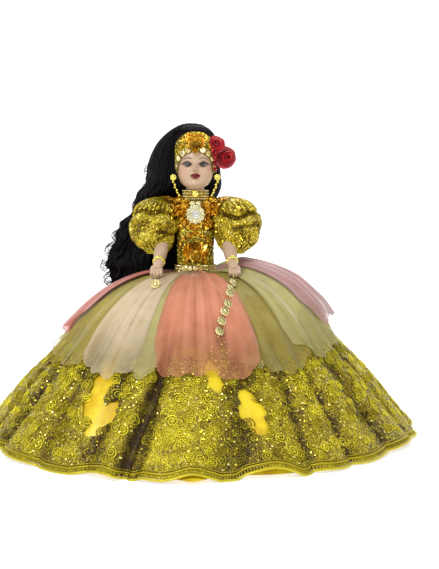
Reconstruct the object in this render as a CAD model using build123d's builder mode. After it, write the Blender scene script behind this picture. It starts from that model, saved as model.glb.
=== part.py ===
"""A porcelain costume doll in a wide gold ball gown, on its own metal waist stand.

Millimetres. +Z is up, the doll faces -Y, and its own left hand is at +X. The origin is on the
table under the middle of the skirt, on the axis of the neck.
"""

import math
import os

from build123d import *

os.makedirs("parts", exist_ok=True)

# ---------------------------------------------------------------- driving dimensions
SKIRT_RADIUS = 271.0
HEM_SLOPE_RUN, HEM_SLOPE_RISE = 12.0, 15.0

PLATE_Z = 262.0  # the cloth torso ends here and the porcelain shoulder plate begins
NECK_Z = 299.0
CHIN_Z = 315.0
CROWN_Z = 384.0

GAP = 0.3  # between pieces that lie on each other
CLOTH = 1.6
PORCELAIN = 2.5

HIP_X, HIP_Z = 16.0, 158.0
SHOULDER_Z = 288.0
ARM_ROOT_X = 24.5
ELBOW = Vector(43, -24, 242)
WRIST = Vector(46, -54, 221)
KNUCKLES = Vector(49, -66, 209)
BANGLE_REACH = 33.0  # from the elbow

SIDES = {"left": 1, "right": -1}

# Elliptical sections as (z, centre x, centre y, radius x, radius y).
TORSO = [
    (172.5, 0, 0, 14, 12),
    (182, 0, 0, 22.5, 18),
    (196, 0, 0, 23, 18.5),
    (208, 0, 0, 21.7, 17.5),
    (235, 0, 0, 21.7, 18),
    (262, 0, 0, 21.7, 17.5),
    (283, 0, 0, 20, 15.5),
    (294, 0, 0, 14.5, 13.5),
    (299, 0, 0, 12.5, 12.5),
]
SKULL = [
    (314, 0, -14, 8, 8),
    (320, 0, -9, 17, 19),
    (332, 0, -4, 23, 27),
    (350, 0, -2, 25.5, 31),
    (368, 0, 0, 25.5, 31),
    (382, 0, 1, 20, 25),
    (391, 0, 2, 10, 12),
]
HAIR = [
    (315, -15, 12, 43, 33),
    (335, -15, 10, 42, 37),
    (355, -15, 8, 41, 39),
    (374, -11, 6, 35, 37),
    (388, -7, 5, 25, 28),
    (398.5, -5, 5, 11, 12),
]
HAIR_LENGTH = [
    (314.5, -16, 34, 44, 15),
    (290, -32, 43, 50, 15),
    (250, -54, 47, 54, 16),
    (215, -64, 50, 54, 17),
    (180, -66, 54, 48, 16),
    (150, -66, 58, 40, 12),
]

# The outer line of the whole skirt from the waist to the hem, as (radius, z).
SKIRT_LINE = [
    (25, 206),
    (58, 203),
    (90, 194),
    (119, 178),
    (146, 153),
    (169, 124),
    (202, 87),
    (234, 49),
    (255, 22),
    (SKIRT_RADIUS, 0),
    (SKIRT_RADIUS + HEM_SLOPE_RUN, -HEM_SLOPE_RISE),
]


def save(builder, name):
    """Labels a finished piece and writes its STEP file."""
    builder.part.label = name
    export_step(builder.part, f"parts/{name}.step")


def ovals(outline, grow=0.0):
    """Elliptical sketches up an outline, each grown outwards by the same amount."""
    sections = []
    for z, centre_x, centre_y, radius_x, radius_y in outline:
        with BuildSketch(Plane(origin=(centre_x, centre_y, z))) as oval:
            Ellipse(radius_x + grow, radius_y + grow)
        sections.append(oval.sketch)
    return sections


def layer_line(depth):
    """The skirt line moved inwards, square to itself, by depth."""
    moved = []
    for i, (radius, z) in enumerate(SKIRT_LINE):
        before = SKIRT_LINE[max(i - 1, 0)]
        after = SKIRT_LINE[min(i + 1, len(SKIRT_LINE) - 1)]
        along = Vector(after[0] - before[0], after[1] - before[1]).normalized()
        moved.append((radius + depth * along.Y, z - depth * along.X))
    return moved


def radial_plane(angle):
    """The upright plane through the Z axis at an angle from +X."""
    turn = math.radians(angle)
    return Plane(
        origin=(0, 0, 0),
        x_dir=(math.cos(turn), math.sin(turn), 0),
        z_dir=(math.sin(turn), -math.cos(turn), 0),
    )


def layer_profile(depth, thickness, angle=0.0):
    """The cross-section of one layer of the skirt, on the radial plane at angle."""
    outer, inner = layer_line(depth), layer_line(depth + thickness)
    with BuildSketch(radial_plane(angle)) as profile:
        with BuildLine():
            Spline(*outer)
            Line(outer[-1], inner[-1])
            Spline(*reversed(inner))
            Line(inner[0], outer[0])
        make_face()
    return profile.sketch


def under_skirt(grow):
    """The cross-section of the space under the skirt line grown outwards."""
    line = layer_line(-grow)
    top_z, foot_z = line[0][1], line[-1][1]
    with BuildSketch(Plane.XZ) as profile:
        with BuildLine():
            Spline(*line)
            Polyline(line[-1], (0, foot_z), (0, top_z), line[0])
        make_face()
    return profile.sketch


def bar(start, end, radius_start, radius_end):
    """A round bar, tapered, between two points."""
    start, end = Vector(*start), Vector(*end)
    from_the_start = (Align.CENTER, Align.CENTER, Align.MIN)
    with BuildPart(Plane(origin=start, z_dir=end - start)) as piece:
        if radius_start == radius_end:
            Cylinder(radius_start, (end - start).length, align=from_the_start)
        else:
            Cone(radius_start, radius_end, (end - start).length, align=from_the_start)
    return piece.part


# ================================================================ the stand
BASE_RADIUS, BASE_THICK = 62.0, 3.5
POST_Y = 29.0
POST_RADIUS, POST_BORE = 4.5, 3.05
POST_TOP_Z = 118.0
ROD_RADIUS = 3.0
ROD_FOOT_Z = 60.0
CLIP_Z = 194.0
CLIP_WIRE = 1.3
CLIP_RADIUS = 25.2

with BuildPart() as stand_base:
    with BuildSketch():
        Circle(BASE_RADIUS)
    extrude(amount=BASE_THICK)
    fillet(stand_base.faces().sort_by(Axis.Z)[-1].edges(), 1.5)
    with Locations((0, POST_Y, BASE_THICK)):
        Hole(POST_RADIUS + 0.02)
save(stand_base, "stand_base")

with BuildPart() as stand_post:
    with BuildSketch(Plane.XY):
        with Locations((0, POST_Y)):
            Circle(POST_RADIUS)
            Circle(POST_BORE, mode=Mode.SUBTRACT)
    extrude(amount=POST_TOP_Z)
    SCREW_Z = POST_TOP_Z - 8
    with BuildSketch(Plane.XZ.offset(-POST_Y)):
        with Locations((0, SCREW_Z)):
            Circle(1.52)
    extrude(amount=-POST_RADIUS - 1, mode=Mode.SUBTRACT)
save(stand_post, "stand_post")

with BuildPart() as stand_screw:
    SCREW_TIP_Y = POST_Y + ROD_RADIUS + 0.1
    with BuildSketch(Plane.XZ.offset(-SCREW_TIP_Y)):
        with Locations((0, SCREW_Z)):
            Circle(1.5)
    extrude(amount=-9)
    with BuildSketch(Plane.XZ.offset(-SCREW_TIP_Y - 5)):
        with Locations((0, SCREW_Z)):
            Circle(3.4)
            SlotOverall(17, 2.4)
    extrude(amount=-4)
save(stand_screw, "stand_screw")

with BuildPart() as stand_rod:
    with BuildSketch(Plane.XY.offset(ROD_FOOT_Z)):
        with Locations((0, POST_Y)):
            Circle(ROD_RADIUS)
    extrude(amount=CLIP_Z + 3 - ROD_FOOT_Z)
    fillet(stand_rod.faces().sort_by(Axis.Z)[-1].edges(), 1)
    with BuildSketch(Plane.XY.offset(CLIP_Z - CLIP_WIRE - 0.1)):
        Circle(CLIP_RADIUS + CLIP_WIRE + 0.1)
        Circle(CLIP_RADIUS - CLIP_WIRE - 0.1, mode=Mode.SUBTRACT)
    extrude(amount=2 * CLIP_WIRE + 0.2, mode=Mode.SUBTRACT)
save(stand_rod, "stand_rod")

with BuildPart() as waist_clip:
    CLIP_OPENING = 70.0
    with BuildSketch(radial_plane(-90 + CLIP_OPENING / 2)):
        with Locations((CLIP_RADIUS, CLIP_Z)):
            Circle(CLIP_WIRE)
    revolve(axis=Axis.Z, revolution_arc=360 - CLIP_OPENING)
save(waist_clip, "waist_clip")

# ================================================================ the body under the clothes
with BuildPart() as torso:
    loft(ovals(TORSO))
    split(bisect_by=Plane.XY.offset(PLATE_Z), keep=Keep.BOTTOM)
    # The wire clip presses a groove into the stuffed waist.
    with Locations((0, 0, CLIP_Z)):
        Torus(CLIP_RADIUS, CLIP_WIRE + 0.9, mode=Mode.SUBTRACT)
save(torso, "torso")

BOLT_RADIUS, BOLT_HOLE = 1.25, 1.6

with BuildPart() as shoulder_plate:
    loft(ovals(TORSO))
    loft(ovals(TORSO, -PORCELAIN), mode=Mode.SUBTRACT)
    split(bisect_by=Plane.XY.offset(PLATE_Z + GAP), keep=Keep.TOP)
    # The flat socket that the head turns on.
    with BuildSketch(Plane.XY.offset(NECK_Z - 4)):
        Circle(11.5)
    extrude(amount=4 - GAP)
    split(bisect_by=Plane.XY.offset(NECK_Z - GAP), keep=Keep.BOTTOM)
    with BuildSketch(Plane.XY.offset(NECK_Z - 6)):
        Circle(BOLT_HOLE)
    extrude(amount=8, mode=Mode.SUBTRACT)
save(shoulder_plate, "shoulder_plate")

for side, s in SIDES.items():
    hip = (s * HIP_X, 0, HIP_Z)
    knee = (s * HIP_X, -1, 96)
    calf = (s * HIP_X, 2, 66)
    ankle = (s * HIP_X, 0, 22)

    with BuildPart() as thigh:
        with Locations(hip):
            Sphere(13)
        add(bar(hip, knee, 13, 10.5))
    save(thigh, f"thigh_{side}")

    with BuildPart() as lower_leg:
        add(bar((s * HIP_X, -1, 94.2), calf, 10, 10.5))
        with Locations(calf):
            Sphere(10.5)
        add(bar(calf, ankle, 10.5, 6.5))
        with BuildSketch(Plane.XY.offset(20)):
            with Locations((s * HIP_X, 0)):
                Circle(6.5)
        extrude(amount=3)
    save(lower_leg, f"lower_leg_{side}")

    with BuildPart() as shoe:
        SOLE_Z = 6.0
        with BuildSketch(Plane.XY.offset(SOLE_Z)):
            with Locations((s * HIP_X, -8)):
                Ellipse(8.5, 19)
        with BuildSketch(Plane.XY.offset(SOLE_Z + 7)):
            with Locations((s * HIP_X, -6)):
                Ellipse(8, 17)
        with BuildSketch(Plane.XY.offset(19.9)):
            with Locations((s * HIP_X, 0)):
                Ellipse(7.5, 8)
        loft()
    save(shoe, f"shoe_{side}")

# ================================================================ the head
NECK_RADIUS = 12.0
EYE_X, EYE_Z, EYE_RADIUS = 10.5, 344.0, 7.0
EYE_Y = -21.5

with BuildPart() as head:
    loft(ovals(SKULL))
    with BuildSketch(Plane.XY.offset(NECK_Z)):
        Circle(NECK_RADIUS)
    extrude(amount=24)
    loft(ovals(SKULL[1:], -PORCELAIN), mode=Mode.SUBTRACT)
    with BuildSketch(Plane.XY.offset(NECK_Z + 3)):
        Circle(NECK_RADIUS - PORCELAIN)
    extrude(amount=30, mode=Mode.SUBTRACT)
    with BuildSketch(Plane.XY.offset(NECK_Z - 1)):
        Circle(BOLT_HOLE)
    extrude(amount=6, mode=Mode.SUBTRACT)
    with Locations(*[(s * EYE_X, EYE_Y, EYE_Z) for s in SIDES.values()]):
        Sphere(EYE_RADIUS + 0.1, mode=Mode.SUBTRACT)
    split(bisect_by=Plane.XY.offset(CROWN_Z), keep=Keep.BOTTOM)
save(head, "head")

with BuildPart() as glass_eyes:
    with Locations(*[(s * EYE_X, EYE_Y, EYE_Z) for s in SIDES.values()]):
        Sphere(EYE_RADIUS)
save(glass_eyes, "glass_eyes")

with BuildPart() as crown_cover:
    loft(ovals(SKULL))
    loft(ovals(SKULL[1:], -PORCELAIN), mode=Mode.SUBTRACT)
    split(bisect_by=Plane.XY.offset(CROWN_Z + GAP), keep=Keep.TOP)
save(crown_cover, "crown_cover")

BUTTON_Z = NECK_Z + 3.1

with BuildPart() as neck_button:
    with BuildSketch(Plane.XY.offset(BUTTON_Z)):
        Circle(NECK_RADIUS - PORCELAIN - 0.2)
        Circle(BOLT_RADIUS + 0.1, mode=Mode.SUBTRACT)
    extrude(amount=4)
save(neck_button, "neck_button")

with BuildPart() as neck_bolt:
    with BuildSketch(Plane.XY.offset(279)):
        Circle(BOLT_RADIUS)
    extrude(amount=BUTTON_Z + 4.2 - 279)
    with BuildSketch(Plane.XY.offset(BUTTON_Z + 4.2)):
        Circle(3)
    extrude(amount=2)
    with BuildSketch(Plane.XY.offset(277)):
        Circle(5)
    extrude(amount=2)
save(neck_bolt, "neck_bolt")

with BuildPart() as neck_spring:
    SPRING_TURNS = 5
    SPRING_Z, SPRING_TOP_Z = 280.2, 294.0
    with BuildLine() as coil_line:
        Helix(
            pitch=(SPRING_TOP_Z - SPRING_Z) / SPRING_TURNS,
            height=SPRING_TOP_Z - SPRING_Z,
            radius=3.2,
            center=(0, 0, SPRING_Z),
        )
    with BuildSketch(Plane(origin=coil_line.line @ 0, z_dir=coil_line.line % 0)):
        Circle(0.5)
    sweep(is_frenet=True)
save(neck_spring, "neck_spring")

# ================================================================ hair and headdress
FACE_CUT_Y, HAIRLINE_Z = -6.0, 387.0

with BuildPart() as wig_cap:
    loft(ovals(HAIR))
    loft(ovals(SKULL, 0.4), mode=Mode.SUBTRACT)
    with BuildSketch(Plane.XY.offset(300)):
        with Locations((0, FACE_CUT_Y - 50)):
            Rectangle(200, 100)
    extrude(amount=HAIRLINE_Z - 300, mode=Mode.SUBTRACT)
    with BuildSketch(Plane.XY.offset(CHIN_Z - 5)):
        Circle(NECK_RADIUS + 1.5)
    extrude(amount=20, mode=Mode.SUBTRACT)
save(wig_cap, "wig_cap")

with BuildPart() as hair_length:
    loft(ovals(HAIR_LENGTH))
    revolve(under_skirt(1.5), axis=Axis.Z, mode=Mode.SUBTRACT)
save(hair_length, "hair_length")

FACE_OPENING_Z, FACE_HALF_WIDTH, FACE_HALF_HEIGHT = 334.0, 22.0, 27.0
BAND_FOOT_Z = 331.0

with BuildPart() as headband:
    loft(ovals(SKULL, 2.2))
    loft(ovals(SKULL, 0.4), mode=Mode.SUBTRACT)
    with BuildSketch(Plane.XZ.offset(-FACE_CUT_Y + 0.4)):
        with Locations((0, (BAND_FOOT_Z + HAIRLINE_Z) / 2)):
            Rectangle(80, HAIRLINE_Z - BAND_FOOT_Z - 0.6)
        with Locations((0, FACE_OPENING_Z)):
            Ellipse(FACE_HALF_WIDTH, FACE_HALF_HEIGHT, mode=Mode.SUBTRACT)
    extrude(amount=60, mode=Mode.INTERSECT)
save(headband, "headband")

with BuildPart() as headband_coins:
    COIN_RADIUS, COIN_COUNT = 2.6, 9
    for i in range(COIN_COUNT):
        turn = math.radians(180 * (i + 0.5) / COIN_COUNT)
        coin_x = (FACE_HALF_WIDTH + 1.2) * math.cos(turn)
        coin_z = FACE_OPENING_Z + (FACE_HALF_HEIGHT + 1.5) * math.sin(turn)
        share = min(1, abs(coin_x) / (SKULL[3][3] + 3))
        coin_y = -2 - (SKULL[3][4] + 2) * math.sqrt(1 - share**2)
        out = Vector(coin_x, coin_y - FACE_CUT_Y - 6, 2)
        with BuildSketch(Plane(origin=(coin_x, coin_y, coin_z), z_dir=out)):
            Circle(COIN_RADIUS)
        extrude(amount=2)
    loft(ovals(SKULL, 2.5), mode=Mode.SUBTRACT)
save(headband_coins, "headband_coins")

ROSES = {
    "rose_large": (Vector(40, -8, 354), 12.5),
    "rose_small": (Vector(27, -20, 373), 11.0),
}
for name, (centre, radius) in ROSES.items():
    with BuildPart() as rose:
        with BuildSketch(Plane(origin=centre, z_dir=(0.5, -0.85, 0.1))):
            Circle(radius * 0.72)
        extrude(amount=radius * 0.55)
        with Locations(centre):
            Sphere(radius)
        loft(ovals(HAIR, 0.3), mode=Mode.SUBTRACT)
        loft(ovals(SKULL, 2.8), mode=Mode.SUBTRACT)
        if name == "rose_small":
            with Locations(ROSES["rose_large"][0]):
                Sphere(ROSES["rose_large"][1] + 0.3, mode=Mode.SUBTRACT)
            with BuildSketch(Plane(origin=ROSES["rose_large"][0], z_dir=(0.5, -0.85, 0.1))):
                Circle(ROSES["rose_large"][1] * 0.72 + 0.3)
            extrude(amount=ROSES["rose_large"][1] * 0.55 + 0.3, mode=Mode.SUBTRACT)
    save(rose, name)

STUD_RADIUS, EARRING_BEADS, BEAD_RADIUS = 4.2, 7, 1.4

with BuildPart() as earrings:
    for s in SIDES.values():
        stud = Vector(s * 28.5, -12, 328)
        drop = Vector(-s * 7.5, -1.5, -20)
        across = drop.cross(Vector(0, 1, 0))
        with BuildSketch(Plane(origin=stud, x_dir=drop, z_dir=across)) as half_profile:
            Circle(STUD_RADIUS)
            with Locations(*[(5.2 + 2.9 * i, 0) for i in range(EARRING_BEADS)]):
                Circle(BEAD_RADIUS)
            with Locations((drop.length / 2, 0)):
                Rectangle(drop.length, 1)
            with Locations((0, -drop.length)):
                Rectangle(4 * drop.length, 2 * drop.length, mode=Mode.SUBTRACT)
        revolve(axis=Axis(stud, drop))
save(earrings, "earrings")

# ================================================================ bodice and jewellery
BODICE_FOOT_Z = 207.0
BODICE_TOP_Z = 299.5

with BuildPart() as bodice:
    loft(ovals(TORSO, 2.3))
    loft(ovals(TORSO, 0.6), mode=Mode.SUBTRACT)
    split(bisect_by=Plane.XY.offset(BODICE_FOOT_Z), keep=Keep.TOP)
    with BuildSketch(Plane.XY.offset(NECK_Z - 2)):
        Circle(NECK_RADIUS + 1.2)
    extrude(amount=6, mode=Mode.SUBTRACT)
save(bodice, "bodice")

COLLAR_RADIUS = 16.5

with BuildPart() as choker:
    with BuildSketch(Plane.XY.offset(BODICE_TOP_Z + 0.2)):
        Circle(COLLAR_RADIUS)
        Circle(NECK_RADIUS + 1.2, mode=Mode.SUBTRACT)
    extrude(amount=13)
    fillet(choker.faces().sort_by(Axis.Z)[-1].outer_wire().edges(), 1)
save(choker, "choker")

with BuildPart() as choker_rosette:
    with BuildSketch(Plane.XZ.offset(COLLAR_RADIUS + 0.1)):
        with Locations((0, BODICE_TOP_Z + 8)):
            Circle(1.8)
            with PolarLocations(3.1, 6):
                Circle(1.9)
    extrude(amount=3)
save(choker_rosette, "choker_rosette")

with BuildPart() as pendant:
    PENDANT_Z, PENDANT_RADIUS = 281.0, 8.0
    with BuildSketch(Plane.XZ.offset(19.6)):
        with Locations((0, PENDANT_Z)):
            Circle(PENDANT_RADIUS + 0.6)
            with PolarLocations(PENDANT_RADIUS + 1, 12):
                Circle(2.6)
        with Locations((-3.4, PENDANT_Z + 14), (3.4, PENDANT_Z + 14)):
            Circle(3.3)
    extrude(amount=2.4)
    with BuildSketch(Plane.XZ.offset(22)):
        with Locations((0, PENDANT_Z)):
            Circle(5.2)
    extrude(amount=1.6)
    fillet(pendant.faces().sort_by(Axis.Y)[0].edges(), 1)
save(pendant, "pendant")

with BuildPart() as waistband:
    loft(ovals(TORSO, 5.0))
    loft(ovals(TORSO, 2.6), mode=Mode.SUBTRACT)
    split(bisect_by=Plane.XY.offset(BODICE_FOOT_Z + 0.3), keep=Keep.TOP)
    split(bisect_by=Plane.XY.offset(BODICE_FOOT_Z + 7.5), keep=Keep.BOTTOM)
save(waistband, "waistband")

with BuildPart() as belt_coins:
    BELT_COINS = 9
    for i in range(BELT_COINS):
        angle = math.radians(-90 + 140 * (i / (BELT_COINS - 1) - 0.5))
        out = Vector(math.cos(angle), math.sin(angle), 0)
        place = Vector(27.2 * out.X, 23.2 * out.Y, BODICE_FOOT_Z + 4)
        with BuildSketch(Plane(origin=place, z_dir=out)):
            Circle(2.8)
        extrude(amount=0.8)
save(belt_coins, "belt_coins")

# ================================================================ arms
FOREARM_RADIUS, WRIST_RADIUS = 8.6, 7.2
PUFF = [
    (233, 54, -8, 10, 10),
    (236, 54, -8, 17, 17),
    (245, 54, -8, 25, 25),
    (267.5, 54, -8, 29.3, 29.3),
    (290, 54, -8, 23, 23),
    (299, 54, -8, 14, 14),
    (303, 54, -8, 6, 6),
]


def mirrored(point, s):
    """The same place on the other side of the doll when s is -1."""
    return Vector(s * point.X, point.Y, point.Z)


for side, s in SIDES.items():
    elbow, wrist, knuckles = (mirrored(p, s) for p in (ELBOW, WRIST, KNUCKLES))
    armpit = Vector(s * 36, 0, SHOULDER_Z)
    along_forearm = (wrist - elbow).normalized()

    with BuildPart() as upper_arm:
        add(bar((s * ARM_ROOT_X, 0, SHOULDER_Z), armpit, 9.5, 9.5))
        with Locations(armpit):
            Sphere(9.5)
        add(bar(armpit, elbow, 9.5, 8.8))
    save(upper_arm, f"upper_arm_{side}")

    with BuildPart() as forearm:
        top = elbow + along_forearm * 7.2
        add(bar(top, wrist, FOREARM_RADIUS, WRIST_RADIUS))
        with Locations(wrist):
            Sphere(WRIST_RADIUS)
        add(bar(wrist, knuckles, WRIST_RADIUS, 7.4))
        with Locations(knuckles):
            Sphere(7.4)
        # Curled fingers and a thumb across the palm.
        for i in range(4):
            root = knuckles + Vector(s * (5.1 - 3.4 * i), -5.2, -3.5)
            tip = root + Vector(0, 3.4, -4.2)
            add(bar(root, tip, 1.9, 1.7))
            with Locations(root):
                Sphere(1.9)
            with Locations(tip):
                Sphere(1.7)
    save(forearm, f"forearm_{side}")

    with BuildPart() as bracelet:
        bangle_at = elbow + along_forearm * BANGLE_REACH
        with BuildSketch(Plane(origin=bangle_at, z_dir=along_forearm)):
            Circle(WRIST_RADIUS + 2.6)
            Circle(WRIST_RADIUS + 0.9, mode=Mode.SUBTRACT)
        extrude(amount=4)
    save(bracelet, f"bracelet_{side}")

left_armpit = Vector(36, 0, SHOULDER_Z)
left_reach = (WRIST - ELBOW).normalized()

with BuildPart() as sleeve_left:
    loft(ovals(PUFF))
    loft(ovals(PUFF, -CLOTH), mode=Mode.SUBTRACT)
    # The holes for the shoulder, the upper arm and the forearm.
    add(bar((20, 0, SHOULDER_Z), (44, 0, SHOULDER_Z), 10, 10), mode=Mode.SUBTRACT)
    add(bar(ELBOW - left_reach * 6, ELBOW + left_reach * 34, 9.2, 9.2), mode=Mode.SUBTRACT)
    add(bar(left_armpit, ELBOW, 10, 9.3), mode=Mode.SUBTRACT)
save(sleeve_left, "sleeve_left")

with BuildPart() as sleeve_right:
    mirror(sleeve_left.part, about=Plane.YZ)
save(sleeve_right, "sleeve_right")

# ================================================================ what the hands hold
DAISY_THICK, DAISY_STEP = 1.8, 13.2
DAISIES = 7
CHAIN_TOP = Vector(44.0, -80.0, 205.0)
CHAIN_DRIFT_X = -3.0


def daisy_places():
    """Centres and facings of the daisies, laid from the hand down the front of the skirt."""
    x, places = CHAIN_TOP.X, []
    point = Vector(math.hypot(CHAIN_TOP.X, CHAIN_TOP.Y), CHAIN_TOP.Z)
    with BuildLine() as surface:
        Spline(*layer_line(-2.6))
    line = surface.wires()[0]
    share = 0.0
    while (line @ share).X < point.X:
        share += 0.001
    for _ in range(DAISIES):
        place, along = line @ share, line % share
        y = -math.sqrt(place.X**2 - x**2)
        facing = Vector(-along.Y * x / place.X, along.Y * -y / place.X, along.X)
        places.append((Vector(x, y, place.Y), facing))
        x += CHAIN_DRIFT_X
        share += DAISY_STEP / line.length
    return places


with BuildPart() as flower_chain:
    for centre, facing in daisy_places():
        with BuildSketch(Plane(origin=centre, z_dir=facing)):
            Circle(4.2)
            with PolarLocations(4.3, 8):
                Circle(1.9)
        extrude(amount=DAISY_THICK)
save(flower_chain, "flower_chain")

with BuildPart() as coin_charm:
    with BuildSketch(Plane(origin=(-49, -86, 197), z_dir=(0, -0.8, 0.6))):
        Circle(5.8)
        with PolarLocations(3.6, 6):
            Circle(1.1, mode=Mode.SUBTRACT)
    extrude(amount=1.2)
save(coin_charm, "coin_charm")

# ================================================================ the skirts
PANELS = 12
PANEL_ARC = 37.0
PANEL_HEM_Z = 99.0
# Round the skirt from the front, towards the doll's left.
PANEL_COLOURS = (
    "salmon",
    "olive",
    "moss",
    "pink",
    "gold",
    "moss",
    "salmon",
    "cream",
    "olive",
    "pink",
    "gold",
    "cream",
)

for i in range(PANELS):
    angle = -90 - PANEL_ARC / 2 + 360 * i / PANELS
    with BuildPart() as panel:
        depth = 0.0 if i % 2 == 0 else 1.1
        revolve(layer_profile(depth, 0.8, angle), axis=Axis.Z, revolution_arc=PANEL_ARC)
        split(bisect_by=Plane.XY.offset(PANEL_HEM_Z), keep=Keep.TOP)
    save(panel, f"panel_{i + 1:02d}_{PANEL_COLOURS[i]}")

SKIRTS = {
    "lace_skirt": (2.2, 1.2, 0.0),
    "satin_skirt": (3.7, 1.0, 3.0),
    "petticoat": (5.0, 2.0, 8.0),
}
for name, (depth, thickness, hem_z) in SKIRTS.items():
    with BuildPart() as skirt:
        revolve(layer_profile(depth, thickness), axis=Axis.Z)
        split(bisect_by=Plane.XY.offset(hem_z), keep=Keep.TOP)
    save(skirt, name)

with BuildPart() as hem_ribbon:
    revolve(layer_profile(0.6, 1.3), axis=Axis.Z)
    split(bisect_by=Plane.XY.offset(1.0), keep=Keep.TOP)
    split(bisect_by=Plane.XY.offset(9.0), keep=Keep.BOTTOM)
save(hem_ribbon, "hem_ribbon")

with BuildPart() as hoop_wires:
    HOOP_WIRE = 1.5
    for radius, z in layer_line(5.0 + 2.0 + HOOP_WIRE + 0.2)[5:8]:
        with Locations((0, 0, z)):
            Torus(radius, HOOP_WIRE)
save(hoop_wires, "hoop_wires")
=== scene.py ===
"""A porcelain costume doll in a wide gold lace ball gown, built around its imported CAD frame.

Metres. +Z is up, the doll faces -Y, and its own left hand is at +X. Sizes that are written in
millimetres are multiplied by MM.
"""

import math

import bpy
import numpy as np
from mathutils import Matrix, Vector


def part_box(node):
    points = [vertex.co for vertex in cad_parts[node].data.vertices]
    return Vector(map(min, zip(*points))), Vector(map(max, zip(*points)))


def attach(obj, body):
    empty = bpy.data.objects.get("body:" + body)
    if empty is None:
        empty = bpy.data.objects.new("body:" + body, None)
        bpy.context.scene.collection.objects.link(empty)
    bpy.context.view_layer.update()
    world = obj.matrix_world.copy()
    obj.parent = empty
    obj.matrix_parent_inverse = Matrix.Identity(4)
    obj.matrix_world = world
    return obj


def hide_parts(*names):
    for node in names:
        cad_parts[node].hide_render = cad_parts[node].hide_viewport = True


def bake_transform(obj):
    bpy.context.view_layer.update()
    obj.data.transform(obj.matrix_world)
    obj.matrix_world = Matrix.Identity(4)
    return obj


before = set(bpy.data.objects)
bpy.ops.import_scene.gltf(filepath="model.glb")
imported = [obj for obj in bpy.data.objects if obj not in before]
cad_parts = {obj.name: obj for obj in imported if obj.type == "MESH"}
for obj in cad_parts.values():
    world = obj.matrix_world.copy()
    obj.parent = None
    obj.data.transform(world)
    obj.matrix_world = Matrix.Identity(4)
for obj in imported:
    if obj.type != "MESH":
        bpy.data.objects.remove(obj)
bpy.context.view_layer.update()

MM = 0.001
TURN = 2 * math.pi
SIDES = {"left": 1, "right": -1}
random = np.random.default_rng(12)


# ---------------------------------------------------------------- numbers and points
def vec(*xyz):
    """An array of numbers, or of rows of numbers."""
    return np.array(xyz, float)


XYZ = (vec(1, 0, 0), vec(0, 1, 0), vec(0, 0, 1))
# Axes of a flat shape that faces the front.
FORWARD = (vec(1, 0, 0), vec(0, 0, 1), vec(0, -1, 0))
# The angle of the front, for angles round the doll.
FRONT = -math.pi / 2


def unit(vectors):
    """The same directions, each of length 1."""
    length = np.linalg.norm(vectors, axis=-1, keepdims=True)
    return vectors / np.maximum(length, 1e-12)


def ease(low, high, x):
    """0 below low, 1 above high, and smooth between them."""
    t = np.clip((np.asarray(x, float) - low) / (high - low), 0, 1)
    return t * t * (3 - 2 * t)


def bell(x, centre, width):
    """A smooth bump of height 1."""
    return np.exp(-(((x - centre) / width) ** 2))


def wrap(angle):
    """The same angle, from -pi to pi."""
    return (np.asarray(angle, float) + math.pi) % TURN - math.pi


def round_angles(count, start=0.0):
    """Evenly spaced angles, all the way round."""
    return np.linspace(start, start + TURN, count, endpoint=False)


def circle(angle, radius=1.0, height=0.0):
    """Points at a radius and a height, for each angle."""
    return np.stack(np.broadcast_arrays(radius * np.cos(angle), radius * np.sin(angle), height), axis=-1)


def smooth_line(points, count):
    """Evenly spaced points on a smooth curve through a few given points."""
    points = np.asarray(points, float)
    ends = np.vstack([2 * points[0] - points[1], points, 2 * points[-1] - points[-2]])
    rows = []
    for a, b, c, d in zip(ends, ends[1:], ends[2:], ends[3:]):
        t = np.linspace(0, 1, 40, endpoint=False)[:, None]
        square, cube = 2 * a - 5 * b + 4 * c - d, 3 * b - a - 3 * c + d
        rows.append(0.5 * (2 * b + (c - a) * t + square * t**2 + cube * t**3))
    line = np.vstack(rows + [points[-1:]])
    along = np.concatenate([[0], np.cumsum(np.linalg.norm(np.diff(line, axis=0), axis=1))])
    even = np.linspace(0, along[-1], count)
    return np.stack([np.interp(even, along, line[:, i]) for i in range(line.shape[1])], axis=1)


def grid_faces(rows, columns, close_rows=False, close_columns=False):
    """Quads of a grid of points, numbered row by row."""
    r = np.arange(rows if close_rows else rows - 1)
    c = np.arange(columns if close_columns else columns - 1)
    r, c = (a.ravel() for a in np.meshgrid(r, c, indexing="ij"))
    r2, c2 = (r + 1) % rows, (c + 1) % columns
    return np.stack([r * columns + c, r * columns + c2, r2 * columns + c2, r2 * columns + c], axis=1)


def ring_grid(low, high, rows, around):
    """Angles all the way round and evenly spaced levels, as two grids."""
    level, angle = np.meshgrid(np.linspace(low, high, rows), round_angles(around, -math.pi), indexing="ij")
    return angle, level


def ring_faces(rows, columns):
    """Quads of a grid of points that closes on itself round each row."""
    return grid_faces(rows, columns, False, True)


def capped_faces(rows, columns):
    """Faces of a closed tube of points: its sides and its two ends."""
    ring = np.arange(columns)
    return [ring_faces(rows, columns), ring[::-1][None], ring[None] + (rows - 1) * columns]


# ---------------------------------------------------------------- pieces
def make(name, points, faces, material, body=None, slot=None, smooth=True, **values):
    """A mesh piece that rides on a body. values are numbers held at its points, one array each."""
    mesh = bpy.data.meshes.new(name)
    groups = faces if isinstance(faces, list) else [faces]
    mesh.from_pydata(np.asarray(points).tolist(), [], [f for g in groups for f in np.asarray(g).tolist()])
    mesh.polygons.foreach_set("use_smooth", [smooth] * len(mesh.polygons))
    for key, numbers in values.items():
        mesh.attributes.new(key, "FLOAT", "POINT").data.foreach_set("value", np.asarray(numbers, np.float32))
    mesh.materials.append(material)
    mesh.update()
    made = bpy.data.objects.new(name, mesh)
    bpy.context.scene.collection.objects.link(made)
    if body:
        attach(made, body)
    return made


def turns_and_sizes(count, smallest, largest):
    """Random turns for small shapes, and random sizes, which are given in millimetres."""
    return random.uniform(0, TURN, count), random.uniform(smallest, largest, count) * MM


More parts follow.
